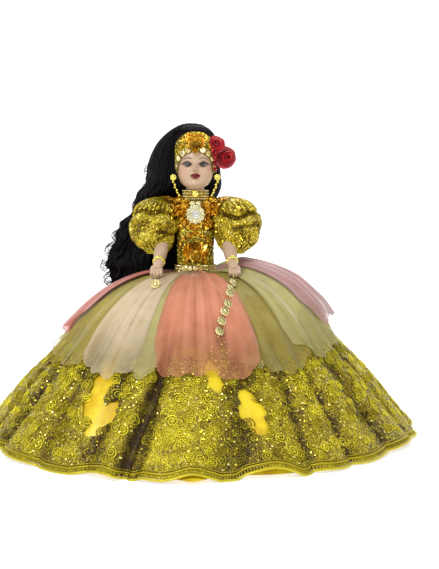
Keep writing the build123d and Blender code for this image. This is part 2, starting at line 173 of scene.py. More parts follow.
class Cluster:
    """Small shapes gathered into one mesh, each with its own tint from 0 to 1.

    A shape is a pair of points and groups of faces, as the functions below make them.
    """

    def __init__(self):
        self.points, self.faces, self.tints, self.size = [], [], [], 0

    def add(self, points, faces, tint):
        """Adds one shape; tint is one number, or one for each point."""
        points = np.asarray(points, float).reshape(-1, 3)
        for group in faces if isinstance(faces, list) else [faces]:
            self.faces.append(np.asarray(group, int) + self.size)
        self.points.append(points)
        self.tints.append(np.broadcast_to(np.asarray(tint, float), (len(points),)))
        self.size += len(points)

    def cord(self, path, thick, sides, tint, closed=False):
        """Adds a round cord along a path; thick is its radius, or one for each point of the path."""
        self.add(*tube(path, thick, sides, closed), tint)

    def add_copies(self, placed, faces, tints):
        """Adds the copies of a shape, whose points are placed already, each with its tint."""
        count, corners = placed.shape[:2]
        step = (corners * np.arange(count))[:, None, None]
        every = [(group[None] + step).reshape(-1, group.shape[1]) for group in faces]
        self.add(placed, every, np.repeat(np.broadcast_to(tints, (count,)), corners))

    def stamp(self, shape, places, axes, sizes, tints):
        """Adds a copy of a small shape at each place; axes are its x, y and z directions there."""
        points, faces = shape
        places = np.asarray(places, float).reshape(-1, 3)
        local = points[None] * np.broadcast_to(sizes, (len(places),))[:, None, None]
        x, y, z = axes
        placed = places[:, None] + local[..., :1] * x + local[..., 1:2] * y + local[..., 2:] * z
        self.add_copies(placed, faces, tints)

    def drape(self, shape, surface, across, down, turns, sizes, tints):
        """Adds copies of a flat shape laid on a surface, each turned in its own plane.

        surface(across, down, x, y, lift) gives points: across and down are a place on the surface, x and y
        are metres along it from there, and lift is metres off it.
        """
        points, faces = shape
        given = np.broadcast_arrays(*np.atleast_1d(across, down, turns, sizes))
        across, down, turns, sizes = (each[:, None] for each in given)
        cos, sin = np.cos(turns), np.sin(turns)
        x = sizes * (cos * points[:, 0] - sin * points[:, 1])
        y = sizes * (sin * points[:, 0] + cos * points[:, 1])
        self.add_copies(surface(across, down, x, y, sizes * points[:, 2]), faces, tints)

    def piece(self, name, material, body=None, slot=None, smooth=True):
        """The mesh piece."""
        points, tints = np.concatenate(self.points), np.concatenate(self.tints)
        return make(name, points, self.faces, material, body, slot, smooth, tint=tints)


def tube(path, radius, sides, closed=False):
    """Points and faces of a tube along a path, with one radius or one for each point."""
    path = np.asarray(path, float)
    if closed:
        along = unit(np.roll(path, -1, 0) - np.roll(path, 1, 0))
    else:
        along = unit(np.gradient(path, axis=0))
    normal, current = np.empty_like(path), vec(0, 0, 1)
    if abs(along[0] @ current) > 0.95:
        current = vec(1, 0, 0)
    for i, tangent in enumerate(along):
        current = current - tangent * (current @ tangent)
        current = current / np.linalg.norm(current)
        normal[i] = current
    side = np.cross(along, normal)
    turn = round_angles(sides)[:, None]
    radii = np.broadcast_to(radius, (len(path),))[:, None, None]
    ring = np.cos(turn) * normal[:, None] + np.sin(turn) * side[:, None]
    faces = [grid_faces(len(path), sides, True, True)] if closed else capped_faces(len(path), sides)
    return (path[:, None] + radii * ring).reshape(-1, 3), faces


# ---------------------------------------------------------------- small flat shapes
def cupped_disc(sides, cup):
    """A sequin: a dished disc of radius 1 whose rim stands off the cloth."""
    points = np.vstack([circle(round_angles(sides), 1, cup), [[0, 0, 0.05]]])
    ring = np.arange(sides)
    return points, [np.stack([ring, (ring + 1) % sides, np.full(sides, sides)], axis=1)]


def open_stack(rows, sides):
    """Round rows, given as (radius, height), closed at the top only."""
    points = np.vstack([circle(round_angles(sides), *row) for row in rows])
    wall, _, top = capped_faces(len(rows), sides)
    return points, [wall, top]


def button(sides, height, rim=0.8):
    """A low round button of radius 1, domed on top."""
    return open_stack([(1, 0), (1, height * 0.7), (rim, height), (rim * 0.45, height * 0.85)], sides)


def gem(sides, height):
    """A faceted stone of radius 1."""
    return open_stack([(1, 0), (1, height * 0.4), (0.55, height)], sides)


def spiral(turns, sides, steps, thick):
    """A flat spiral of cord, of radius 1, that ends in a short tail."""
    tail = 0.9
    t = np.linspace(0.12, 1, steps)
    radius = np.where(t < tail, t / tail, 1 + (t - tail) * 3)
    points, faces = tube(circle(TURN * turns * t, radius), thick, sides)
    points[:, 2] += thick
    return points, faces


def scroll(sides, steps, thick):
    """An S of cord, 2 long, with a curl at each end."""
    t = np.linspace(-1, 1, steps)
    turn = 2.6 * t**3 + 0.4 * t
    dx, dy = np.cos(turn), np.sin(turn)
    path = np.stack([np.cumsum(dx), np.cumsum(dy), 0 * t], axis=1) / steps * 2.2
    path -= path.mean(0)
    points, faces = tube(path, thick, sides)
    points[:, 2] += thick
    return points, faces


def leaf(steps, width, cup):
    """A pointed, cupped petal from the origin to x = 1."""
    t = np.linspace(0, 1, steps)
    half = width * np.sin(math.pi * np.clip(t, 0.04, 0.97) ** 0.75)
    rows = [np.stack([t, s * half, cup * (abs(s) * half / width + t * t)], axis=1) for s in (-1, 0, 1)]
    return np.stack(rows, axis=1).reshape(-1, 3), [grid_faces(steps, 3)]


def daisy(petals, thick):
    """A flower of round petals about a domed centre, of radius 1."""
    turn = round_angles(petals * 6)
    lobes = 0.80 + 0.20 * np.abs(np.cos(petals * turn / 2)) ** 0.7
    rows = [(0.97, -thick), (1.0, 0.0), (0.80, thick * 1.3), (0.42, thick * 0.4)]
    return np.vstack([circle(turn, r * lobes, h) for r, h in rows]), capped_faces(len(rows), len(turn))


def ball(rows, sides):
    """A sphere of radius 1."""
    polar = np.linspace(0.02, math.pi - 0.02, rows)
    points = [circle(round_angles(sides), math.sin(p), math.cos(p)) for p in polar]
    return np.vstack(points), capped_faces(rows, sides)


# ---------------------------------------------------------------- materials
class Finish:
    """A procedural material under construction. Constants go straight onto the shader's sockets."""

    def __init__(self, name, **sockets):
        self.material = bpy.data.materials.new(name)
        self.material.use_nodes = True
        self.tree = self.material.node_tree
        self.shader = self.tree.nodes["Principled BSDF"]
        for key, value in sockets.items():
            self.shader.inputs[key.replace("_", " ")].default_value = value
        self.coordinates = self.tree.nodes.new("ShaderNodeTexCoord").outputs["Object"]

    def node(self, kind, inputs=None, **settings):
        """A shader node, with its inputs linked or set, and its settings."""
        made = self.tree.nodes.new("ShaderNode" + kind)
        for key, value in settings.items():
            setattr(made, key, value)
        for key, value in (inputs or {}).items():
            if isinstance(value, bpy.types.NodeSocket):
                self.tree.links.new(value, made.inputs[key])
            else:
                made.inputs[key].default_value = value
        return made

    def noise(self, scale, detail=3.0, roughness=0.6, stretch=None):
        """Soft noise; stretch is a scale for each axis."""
        vector = self.coordinates
        if stretch:
            vector = self.node("Mapping", {"Vector": vector, "Scale": stretch}).outputs["Vector"]
        return self.node(
            "TexNoise", {"Vector": vector, "Scale": scale, "Detail": detail, "Roughness": roughness}
        ).outputs["Fac"]

    def cells(self, scale):
        """The distance to the nearest of many scattered points."""
        return self.node("TexVoronoi", {"Vector": self.coordinates, "Scale": scale}).outputs["Distance"]

    def held(self, name):
        """A number that the mesh holds at its points."""
        return self.node("Attribute", attribute_name=name).outputs["Fac"]

    def ramp(self, factor, *stops):
        """A colour for each factor; stops are (position, colour)."""
        node = self.node("ValToRGB", {"Fac": factor})
        elements = node.color_ramp.elements
        while len(elements) < len(stops):
            elements.new(0.5)
        for element, (position, colour) in zip(elements, stops):
            element.position = position
            element.color = (*colour, 1.0) if len(colour) == 3 else colour
        return node.outputs["Color"]

    def level(self, factor, low, high, start=0.0, end=1.0):
        """factor mapped from low..high to start..end."""
        inputs = {"Value": factor, "From Min": low, "From Max": high, "To Min": start, "To Max": end}
        return self.node("MapRange", inputs).outputs["Result"]

    def mix(self, factor, first, second):
        """The first colour, giving way to the second as the factor goes from 0 to 1."""
        node = self.node("Mix", data_type="RGBA")
        for socket, value in zip((node.inputs[0], node.inputs[6], node.inputs[7]), (factor, first, second)):
            if isinstance(value, bpy.types.NodeSocket):
                self.tree.links.new(value, socket)
            else:
                socket.default_value = (*value, 1.0) if isinstance(value, tuple) else value
        return node.outputs[2]

    def maths(self, operation, first, second):
        """Two numbers added or multiplied."""
        return self.node("Math", {0: first, 1: second}, operation=operation).outputs[0]

    def set(self, socket, value):
        """Links a node's output to a socket of the shader."""
        self.tree.links.new(value, self.shader.inputs[socket])

    def bump(self, height, distance):
        """Raises the surface by a height from 0 to 1 times a distance in metres."""
        node = self.node("Bump", {"Height": height, "Distance": distance})
        self.set("Normal", node.outputs["Normal"])


def lace_cloth(name, dark, middle, bright, scale, folded=False):
    """Gold lace: a scrolling raised pattern over a darker net, with metallic glints.

    A folded one has shade painted into its valleys, from the crest value that the mesh holds, and opens where
    the mesh says so.
    """
    f = Finish(name, Metallic=0.45, Specular_IOR_Level=0.5)
    wave = f.maths("MULTIPLY", f.cells(110 * scale), 26.0)
    scrolls = f.node("Math", {0: wave}, operation="SINE").outputs[0]
    speckle = f.noise(700 * scale, 2.0, 0.7)
    patches = f.noise(60 * scale, 4.0, 0.7)
    pattern = f.maths("ADD", f.level(scrolls, -1, 1, 0, 0.34), f.level(speckle, 0.3, 0.7, 0, 0.38))
    shade = f.maths("ADD", pattern, f.level(patches, 0.3, 0.7, -0.26, 0.24))
    if folded:
        # Painted shade: darker in the valleys of the folds and in the cleft, and a little lighter on the
        # crests.
        shade = f.maths("ADD", shade, f.level(f.held("crest"), 0.0, 1.0, -0.42, 0.10))
        edge = f.maths("ADD", f.held("open"), f.level(speckle, 0.3, 0.7, -0.25, 0.25))
        f.set("Alpha", f.level(edge, 0.42, 0.58, 1.0, 0.0))
    f.set("Base Color", f.ramp(shade, (0.02, dark), (0.40, middle), (0.88, bright)))
    f.set("Roughness", f.level(speckle, 0.35, 0.65, 0.26, 0.5))
    f.bump(shade, 0.9 * MM)
    return f.material


def satin_cloth(name, colour, shade):
    """Satin: smooth, with a soft cloudy shade and a fine twill."""
    f = Finish(name, Sheen_Weight=0.35, Sheen_Roughness=0.35, Specular_IOR_Level=0.55)
    f.set("Base Color", f.ramp(f.noise(34, 3.0), (0.36, shade), (0.6, colour)))
    twill = f.noise(900, 1.0, stretch=(1, 1, 3.5))
    f.set("Roughness", f.level(twill, 0.3, 0.7, 0.31, 0.44))
    f.bump(twill, 0.05 * MM)
    return f.material


def organza_cloth(name, colour, shade, body, hem, glitter=False):
    """Sheer organza: shade painted into its folds and a paler highlight painted onto their ridges, thinner
    towards its hem, with a crisp thread and some glitter.
    """
    f = Finish(name, Sheen_Weight=0.5, Sheen_Roughness=0.3, Specular_IOR_Level=0.4)
    # Painted light and shade: the value held for the folds runs the colour from shade in the valleys to a
    # paler highlight on the ridges; the noise only varies the tone.
    tone = f.maths("ADD", f.held("fold_shading"), f.level(f.noise(30, 3.0), 0.3, 0.7, -0.2, 0.2))
    painted_highlight = tuple(min(1.0, 1.12 * c + 0.05) for c in colour)
    base = f.ramp(tone, (0.05, shade), (0.5, colour), (0.95, painted_highlight))
    thread = f.noise(1500, 1.0, stretch=(1, 1, 0.3))
    if glitter:
        sparks = f.level(f.cells(260), 0.10, 0.16, 1.0, 0.0)
        spread = f.level(f.noise(26, 2.0), 0.50, 0.62)
        base = f.mix(f.maths("MULTIPLY", sparks, spread), base, (0.95, 0.80, 0.12))
    f.set("Base Color", base)
    f.set("Roughness", f.level(thread, 0.3, 0.7, 0.42, 0.62))
    sheer = f.level(f.held("sheer"), 0.0, 1.0, body, hem)
    doubled = f.level(f.held("fold_shading"), 0.0, 1.0, 0.10, -0.06)
    f.set("Alpha", f.maths("ADD", f.maths("ADD", sheer, doubled), f.level(thread, 0.3, 0.7, -0.06, 0.06)))
    f.bump(thread, 0.05 * MM)
    return f.material


def tint_ramp(f, colours):
    """A base colour that runs through evenly spaced colours as the tint goes from 0 to 1."""
    stops = [(i / (len(colours) - 1), colour) for i, colour in enumerate(colours)]
    f.set("Base Color", f.ramp(f.held("tint"), *stops))


def sequin_finish(name, *colours, metallic=0.85):
    """Sequins, or other small hard pieces, whose colour follows each one's own tint."""
    f = Finish(name, Metallic=metallic, Specular_IOR_Level=0.6)
    tint_ramp(f, colours)
    f.set("Roughness", f.level(f.noise(500, 2.0), 0.3, 0.7, 0.16, 0.34))
    return f.material


def cord_finish(name, *colours, metallic=0.55):
    """Twisted metallic cord."""
    f = Finish(name, Metallic=metallic, Specular_IOR_Level=0.5)
    tint_ramp(f, colours)
    twist = f.noise(1600, 1.0)
    f.set("Roughness", f.level(twist, 0.3, 0.7, 0.28, 0.5))
    f.bump(twist, 0.15 * MM)
    return f.material


def plain_finish(name, colour, shade, roughness, metallic=0.0, grain=300, depth=0.05, stretch=None, **more):
    """A solid material with a grain that shows in its colour, its gloss and its surface."""
    f = Finish(name, Metallic=metallic, **more)
    cloud = f.noise(grain, 4.0, stretch=stretch)
    f.set("Base Color", f.ramp(cloud, (0.3, shade), (0.7, colour)))
    f.set("Roughness", f.level(cloud, 0.3, 0.7, roughness - 0.07, roughness + 0.09))
    f.bump(cloud, depth * MM)
    return f.material


def weave_cloth(name, colour, shade):
    """Plain woven cotton or net."""
    f = Finish(name, Roughness=0.85, Sheen_Weight=0.15)
    inputs = {"Vector": f.coordinates, "Scale": 150}
    threads = [f.node("TexWave", inputs, bands_direction=way).outputs["Fac"] for way in "XZ"]
    weave = f.maths("MULTIPLY", *threads)
    f.set("Base Color", f.ramp(f.maths("ADD", weave, f.noise(60, 3.0)), (0.3, shade), (1.1, colour)))
    f.bump(weave, 0.12 * MM)
    return f.material


def face_finish():
    """Painted porcelain: bare skin with rouge, lips, brows and smoky lids, and shade painted near black into
    the gap between the lips and into the nostrils.
    """
    f = Finish("painted_porcelain", Coat_Weight=0.3, Coat_Roughness=0.25, Specular_IOR_Level=0.5)
    skin = f.ramp(f.noise(45, 4.0), (0.3, (0.48, 0.325, 0.205)), (0.7, (0.54, 0.375, 0.245)))
    skin = f.mix(f.level(f.held("blush"), 0, 1, 0, 0.32), skin, (0.66, 0.25, 0.18))
    skin = f.mix(f.level(f.held("smoke"), 0, 1, 0, 0.9), skin, (0.115, 0.065, 0.055))
    skin = f.mix(f.level(f.held("brows"), 0, 1, 0, 0.9), skin, (0.10, 0.06, 0.045))
    skin = f.mix(f.held("lips"), skin, (0.16, 0.010, 0.014))
    # Painted shade: near black in the gap between the lips and in the nostrils.
    skin = f.mix(f.held("gap_shade"), skin, (0.03, 0.004, 0.006))
    f.set("Base Color", skin)
    f.set("Roughness", f.level(f.held("lips"), 0, 1, 0.38, 0.22))
    f.bump(f.noise(900, 2.0), 0.02 * MM)
    return f.material


def eye_finish():
    """A glass eye: pupil, brown iris with a dark rim, and white, by distance from the middle."""
    f = Finish("glass_eye", Roughness=0.06, Coat_Weight=1.0, Coat_Roughness=0.02)
    far = f.maths("ADD", f.held("tint"), f.level(f.noise(900, 2.0), 0.3, 0.7, -0.02, 0.02))
    stops = ((0.20, (0.003, 0.002, 0.002)), (0.27, (0.035, 0.022, 0.015)), (0.46, (0.075, 0.052, 0.038)))
    f.set("Base Color", f.ramp(far, *stops, (0.56, (0.012, 0.009, 0.008)), (0.66, (0.42, 0.36, 0.31))))
    return f.material


LACE = lace_cloth("gold_lace_cloth", (0.04, 0.02, 0.003), (0.34, 0.26, 0.006), (0.84, 0.72, 0.02), 1, True)
SLEEVE = lace_cloth(
    "sleeve_lace_cloth", (0.06, 0.035, 0.003), (0.46, 0.34, 0.01), (0.85, 0.7, 0.03), 1.3, True
)
TRIM = lace_cloth("trim_lace_cloth", (0.07, 0.036, 0.004), (0.30, 0.205, 0.010), (0.75, 0.58, 0.04), 1.6)
SATIN = satin_cloth("yellow_satin", (0.88, 0.68, 0.014), (0.70, 0.45, 0.006))
NET = weave_cloth("white_net", (0.93, 0.91, 0.86), (0.80, 0.78, 0.72))
COTTON = weave_cloth("body_cotton", (0.86, 0.76, 0.62), (0.74, 0.62, 0.48))
# The organzas, as colour, the darker colour painted into their folds as shade, how opaque the cloth and its
# hem are, and whether it glitters.
ORGANZA_LOOKS = {
    "salmon": ((0.60, 0.215, 0.115), (0.37, 0.125, 0.055), 0.97, 0.42),
    "olive": ((0.33, 0.26, 0.05), (0.17, 0.125, 0.016), 0.93, 0.55),
    "cream": ((0.62, 0.49, 0.31), (0.40, 0.30, 0.15), 0.90, 0.45),
    "pink": ((0.46, 0.235, 0.225), (0.30, 0.14, 0.135), 0.90, 0.6),
    "rose": ((0.56, 0.17, 0.125), (0.34, 0.09, 0.06), 0.93, 0.7),
    "gold": ((0.42, 0.34, 0.07), (0.24, 0.18, 0.03), 0.84, 0.45, True),
    "moss": ((0.46, 0.41, 0.15), (0.27, 0.23, 0.06), 0.90, 0.45),
}
ORGANZA = {name: organza_cloth(name + "_organza", *looks) for name, looks in ORGANZA_LOOKS.items()}
CORD = cord_finish("gold_cord", (0.07, 0.038, 0.003), (0.46, 0.37, 0.010), (0.95, 0.84, 0.04))
SEQUIN = sequin_finish("skirt_sequins", (0.30, 0.20, 0.01), (0.80, 0.64, 0.04), (1.0, 0.90, 0.30))
AMBER = sequin_finish("amber_sequins", (0.20, 0.075, 0.004), (0.62, 0.29, 0.010), (1.0, 0.70, 0.09))
COIN = sequin_finish("gold_coins", (0.70, 0.50, 0.14), (0.88, 0.74, 0.30), (1.0, 0.90, 0.52))
BEAD = sequin_finish("yellow_beads", (0.72, 0.54, 0.03), (0.92, 0.78, 0.09), (1.0, 0.93, 0.30))
SKIN = plain_finish(
    "porcelain_skin", (0.58, 0.41, 0.28), (0.50, 0.34, 0.22), 0.34, grain=40, Coat_Weight=0.25
)
FACE, EYE = face_finish(), eye_finish()
LID = cord_finish("painted_lids", (0.012, 0.008, 0.008), (0.28, 0.15, 0.11), (0.42, 0.25, 0.18), metallic=0)
ROSE = sequin_finish("red_silk", (0.09, 0.001, 0.003), (0.4, 0.004, 0.012), (0.72, 0.014, 0.026), metallic=0)
CRYSTAL = sequin_finish("clear_stones", (0.45, 0.47, 0.50), (0.80, 0.82, 0.85), (1.0, 1.0, 1.0))
DAISY = sequin_finish("daisy_enamel", (0.40, 0.31, 0.09), (0.70, 0.61, 0.26), (0.88, 0.82, 0.48))
STONE = sequin_finish("green_gold_stones", (0.42, 0.44, 0.10), (0.80, 0.78, 0.35), (1.0, 1.0, 0.80))
STRANDS = {"grain": 420, "depth": 0.25, "stretch": (1, 1, 0.12), "Specular_IOR_Level": 0.12}
HAIR = plain_finish("black_hair", (0.0065, 0.005, 0.0065), (0.0015, 0.001, 0.0016), 0.60, **STRANDS)


# ---------------------------------------------------------------- the skirts
# The outer line of the whole skirt from the waist to the hem, as (radius, height) in millimetres.
SKIRT_LINE = [
    (25, 206),
    (58, 203),
    (90, 194),
    (119, 178),
    (146, 153),
    (169, 124),
    (202, 87),
    (234, 49),
    (255, 22),
    (271, 0),
]
# How far the cloth puffs out over the doll's left side, as (share of the way down, millimetres).
SWELL = [(0, 3), (0.10, 18), (0.30, 23), (0.42, 20), (0.55, 10), (0.75, 8), (0.9, 10), (1, 13)]

line = smooth_line(np.array(SKIRT_LINE) * MM, 400)
SKIRT_LENGTH = np.linalg.norm(np.diff(line, axis=0), axis=1).sum()
line_share = np.linspace(0, 1, len(line))
line_along = unit(np.gradient(line, axis=0))


def share_at(height):
    """How far down the skirt line a height is reached, from 0 at the waist to 1 at the hem."""
    return np.interp(-np.asarray(height, float), -line[:, 1], line_share)


def skirt_point(angle, share, lift):
    """Points on the skirt line turned to an angle, moved outwards by lift."""
    angle, share = np.broadcast_arrays(np.asarray(angle, float), np.asarray(share, float))
    radius = np.interp(share, line_share, line[:, 0])
    height = np.interp(share, line_share, line[:, 1])
    out = -np.interp(share, line_share, line_along[:, 1])
    up = np.interp(share, line_share, line_along[:, 0]) * (1 - ease(0.72, 1.0, share))
    side = np.clip(np.cos(angle - 0.2), 0, 1) ** 2.5
    lift = lift + np.interp(share, *np.array(SWELL).T) * MM * side
    radius = radius + lift * out
    return circle(angle, radius, height + lift * up)


LACE_FOLDS, LACE_DEPTH = 22, 15 * MM
CLEFT_TOP, CLEFT_HEM = math.radians(-101.5), math.radians(-106.5)


def cleft_at(share):
    """The angle of the deep cleft in the front of the lace, which leans towards the hem."""
    return CLEFT_TOP + (CLEFT_HEM - CLEFT_TOP) * ease(0.5, 1.0, share)


def fold_wave(angle, share, count, drift):
    """Uneven folds round the skirt, with broad crests and narrow valleys, about -1 to 1."""
    warped = angle + 0.10 * np.sin(3 * angle + 1.1 + drift) + 0.05 * np.sin(7 * angle + 2.3 * drift)
    warped = warped + 0.05 * np.sin(2 * angle + 3 * share + drift)
    crest = np.abs(np.sin(count * warped / 2)) ** 0.7
    return 2 * crest - 1.35 + 0.3 * np.sin((count // 2 - 2) * angle + 4 * share + drift)


def lace_lift(angle, share):
    """How far the lace stands off the skirt line: folds that deepen towards the hem, and one deep cleft."""
    angle = wrap(angle)
    depth = LACE_DEPTH * ease(0.34, 1.0, share)
    uneven = 0.8 + 0.35 * np.sin(5 * angle + 0.7) * np.sin(2 * angle + 2)
    folds = depth * (uneven * fold_wave(angle, share, LACE_FOLDS, 0.4) * 0.5 + 0.2)
    offset = angle - cleft_at(share)
    cleft = bell(offset, 0, math.radians(1.3)) - 0.35 * bell(offset, 0, math.radians(5.5))
    cleft = 17 * MM * cleft * ease(0.42, 0.75, share)
    return np.maximum(folds - cleft, -5.2 * MM) - 3.0 * MM * ease(0.74, 0.56, share)


# Where the hem rises or dips at the front, as (degrees, how much, half width in degrees).
HEM_RISES = [
    (-125, -2, 6),
    (-112, 1, 3),
    (-105.5, -3, 2.2),
    (-91, 3.6, 4.5),
    (-82, -2.5, 3),
    (-72, 1.5, 4),
    (-64, -2.5, 3),
]


def lace_point(angle, share, lift=0.0):
    """Points on the folded lace skirt. Its hem rises and falls a little."""
    angle, share = np.broadcast_arrays(np.asarray(angle, float), np.asarray(share, float))
    points = skirt_point(angle, share, lace_lift(angle, share) + lift)
    swing = 1.7 + np.sin(9 * angle + 0.5 * np.sin(4 * angle)) + 0.7 * np.sin(5 * angle + 1)
    for place, size, wide in HEM_RISES:
        swing = swing + size * bell(wrap(angle), math.radians(place), math.radians(wide))
    rise = 2.6 * MM * np.maximum(swing, 0) * ease(0.8, 1.0, share)
    points[..., 2] = np.maximum(points[..., 2] + rise, 0.8 * MM + np.maximum(lift, 0) * 0.3)
    return points


def on_lace(angle, share, x, y, lift):
    """Points beside a place on the lace: x along the hem, y up the skirt."""
    radius = np.interp(share, line_share, line[:, 0])
    return lace_point(angle + x / radius, share - y / SKIRT_LENGTH, lift + 0.3 * MM)


def fold_shade(angle, share):
    """0 in the valleys of the lace and 1 on its crests: the mask for the shade painted into its valleys and
    its cleft, and for the painted light and shade of its cords and sequins.
    """
    depth = LACE_DEPTH * ease(0.34, 1.0, share) + 2.5 * MM
    height = ease(-0.42, 0.50, (lace_lift(angle, share) + 3.0 * MM * ease(0.74, 0.56, share)) / depth)
    offset = wrap(angle) - cleft_at(share)
    return height * (1 - bell(offset, 0, math.radians(2.6)) * ease(0.45, 0.7, share))


# Places where the lace parts and the satin shows, as (degrees, top and bottom height in millimetres, half
# width in degrees, lean in degrees from top to bottom).
OPENINGS = [
    (-122.0, 114, 50, 3.4, 1.0),
    (-117.0, 74, 36, 3.0, -2.0),
    (-84.0, 118, 82, 2.8, 1.0),
    (-73.5, 88, 38, 3.4, 1.2),
]


def openness(angle, share):
    """1 where the lace is open and 0 where it covers."""
    worn = np.zeros_like(np.asarray(angle + share, float))
    for centre, top, bottom, half, lean in OPENINGS:
        first, last = share_at(top * MM), share_at(bottom * MM)
        along = (share - (first + last) / 2) / ((last - first) / 2)
        middle = np.radians(centre + lean * along)
        ragged = 1 + 0.20 * np.sin(7 * along + centre) + 0.10 * np.sin(17 * along)
        distance = np.hypot((wrap(angle) - middle) / (math.radians(half) * ragged), along)
        worn = np.maximum(worn, ease(1.12, 0.88, distance))
    return worn


def ring_cloth(surface, around, down, first, last):
    """A closed ring of cloth: points, faces, and the angle and share of each point."""
    angle, share = ring_grid(first, last, down, around)
    return surface(angle, share).reshape(-1, 3), ring_faces(down, around), angle.ravel(), share.ravel()


points, faces, angle, share = ring_cloth(lace_point, around=640, down=130, first=0.03, last=0.992)
# crest is the mask of the shade painted into the folds; open is where the lace parts.
painted_shade_and_openings = {"crest": fold_shade(angle, share), "open": openness(angle, share)}
lace = make("lace_skirt_cloth", points, faces, LACE, "doll", "skirt_lace", **painted_shade_and_openings)
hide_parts("lace_skirt")


def satin_point(angle, share):
    """The satin hangs just inside the lace, with shallower folds."""
    tongue = 15 * MM * bell(wrap(angle), math.radians(-90.5), math.radians(2.6)) * ease(0.968, 0.984, share)
    points = skirt_point(angle, share, 0.9 * lace_lift(angle, share) - 2.2 * MM + tongue)
    lowest = 0.6 * MM + 1.5 * MM * ease(0.95, 0.985, share) * ease(0, 8 * MM, tongue) * np.sin(40 * angle)
    points[..., 2] = np.maximum(points[..., 2], lowest)
    return points


points, faces, _, _ = ring_cloth(satin_point, around=440, down=70, first=0.03, last=0.985)
satin = make("satin_skirt_cloth", points, faces, SATIN, "doll", "yellow_satin")
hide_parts("satin_skirt")


# Embroidery: spirals of cord, scrolls between them, and sequins, thinner under the petals.
def scattered(spacing, first, last, jitter=0.42, edge=0.35):
    """Places spread evenly over the lace: angles and shares, in staggered rows with some jitter."""
    angles, shares = [], []
    rows = np.arange(first, last, spacing * 0.9 / SKIRT_LENGTH)
    for i, row in enumerate(rows):
        radius = np.interp(row, line_share, line[:, 0])
        count = int(TURN * radius / spacing)
        places = (np.arange(count) + 0.5 * (i % 2)) / count * TURN
        angles.append(places + random.uniform(-jitter, jitter, count) * spacing / radius)
        shares.append(row + random.uniform(-jitter, jitter, count) * spacing / SKIRT_LENGTH)
    angles, shares = np.concatenate(angles), np.concatenate(shares)
    covered = openness(angles, shares) < edge
    cleft = np.abs(wrap(angles) - cleft_at(shares)) > math.radians(1.6)
    keep = covered & (cleft | (shares < 0.6)) & (shares < last)
    return wrap(angles[keep]), shares[keep]


def cord_tint(angle, share, spread=0.22):
    """Tints for cords and sequins on the lace: painted lighter on its crests and darker in its valleys, as
    light and shade, and a little different from one to the next.
    """
    return np.clip(fold_shade(angle, share) * 0.72 + 0.16 + random.normal(0, spread, len(angle)), 0, 1)


EMBROIDERY_TOP = float(share_at(128 * MM))
angles, shares = scattered(12.4 * MM, EMBROIDERY_TOP, 0.955, edge=0.8)
chosen = random.random(len(angles)) < 0.8
curls = Cluster()
for handed in (1, -1):
    shape, shape_faces = spiral(2.3, 3, 24, 0.115)
    shape = shape * vec(1, handed, 1)
    part = chosen & ((random.random(len(angles)) < 0.5) == (handed > 0))
    places, count = (angles[part], shares[part]), part.sum()
    chosen = chosen & ~part
    sizes = random.uniform(4.6, 6.8, count) * MM
    turns = random.uniform(0, TURN, count)
    curls.drape((shape, shape_faces), on_lace, *places, turns, sizes, cord_tint(*places))
curls = curls.piece("lace_skirt_curls", CORD, "doll", "gold_cord")

angles, shares = scattered(8.6 * MM, EMBROIDERY_TOP - 0.01, 0.975, 0.5, 0.8)
scrolls = Cluster()
turns, sizes = turns_and_sizes(len(angles), 3.0, 5.2)
scrolls.drape(scroll(3, 10, 0.11), on_lace, angles, shares, turns, sizes, cord_tint(angles, shares))
scrolls = scrolls.piece("lace_skirt_scrolls", CORD, "doll", "gold_cord")

angles, shares = scattered(7.4 * MM, EMBROIDERY_TOP - 0.12, 0.98, 0.5)
glints = Cluster()
turns, sizes = turns_and_sizes(len(angles), 0.7, 1.5)
glints.drape(cupped_disc(6, 0.5), on_lace, angles, shares, turns, sizes, cord_tint(angles, shares, 0.3))
glints = glints.piece("lace_skirt_sequins", SEQUIN, "doll", "gold_sequin", smooth=False)

# The hem: two cords either side of a row of small loops.
around = round_angles(900, -math.pi)
hem = Cluster()
for share, radius, tint in ((0.998, 1.5, 0.62), (0.977, 1.1, 0.5), (0.968, 0.8, 0.35)):
    hem.cord(lace_point(around, share, 1.2 * MM), radius * MM, 6, tint, closed=True)
loops = round_angles(520, -math.pi)
loop = tube(circle(round_angles(8)) * vec(1, 1.2, 1), 0.3, 3, True)
hem.drape(loop, on_lace, loops, 0.988, 0.0, 1.7 * MM, 0.5 + 0.3 * random.random(len(loops)))
hem = hem.piece("lace_skirt_hem", CORD, "doll", "gold_cord")
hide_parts("hem_ribbon")


# ---------------------------------------------------------------- the petals of the overskirt
# For each petal: its centre and half width in degrees, its hem height in millimetres, and how far its
# first and its last edge stand off the skirt, in millimetres.
PETALS = {
    "01": (-85.5, 21.0, 97, 3.6, 3.6),
    "02": (-58.0, 17.5, 100, 0.3, 0.3),
    "03": (-30.0, 20.0, 109, 3.6, 0.3),
    "04": (-6.0, 22.0, 136, 4.2, 4.2),
    "05": (30.0, 20.0, 106, 0.3, 3.8),
    "06": (60.0, 19.0, 99, 0.3, 3.8),
    "07": (90.0, 19.0, 103, 0.3, 3.8),
    "08": (120.0, 19.0, 98, 0.3, 3.8),
    "09": (150.0, 18.5, 101, 0.3, 3.8),
    "10": (182.0, 19.5, 130, 4.6, 4.6),
    "11": (211.0, 18.5, 102, 0.3, 0.3),
    "12": (240.0, 16.5, 97, 3.6, 0.3),
}


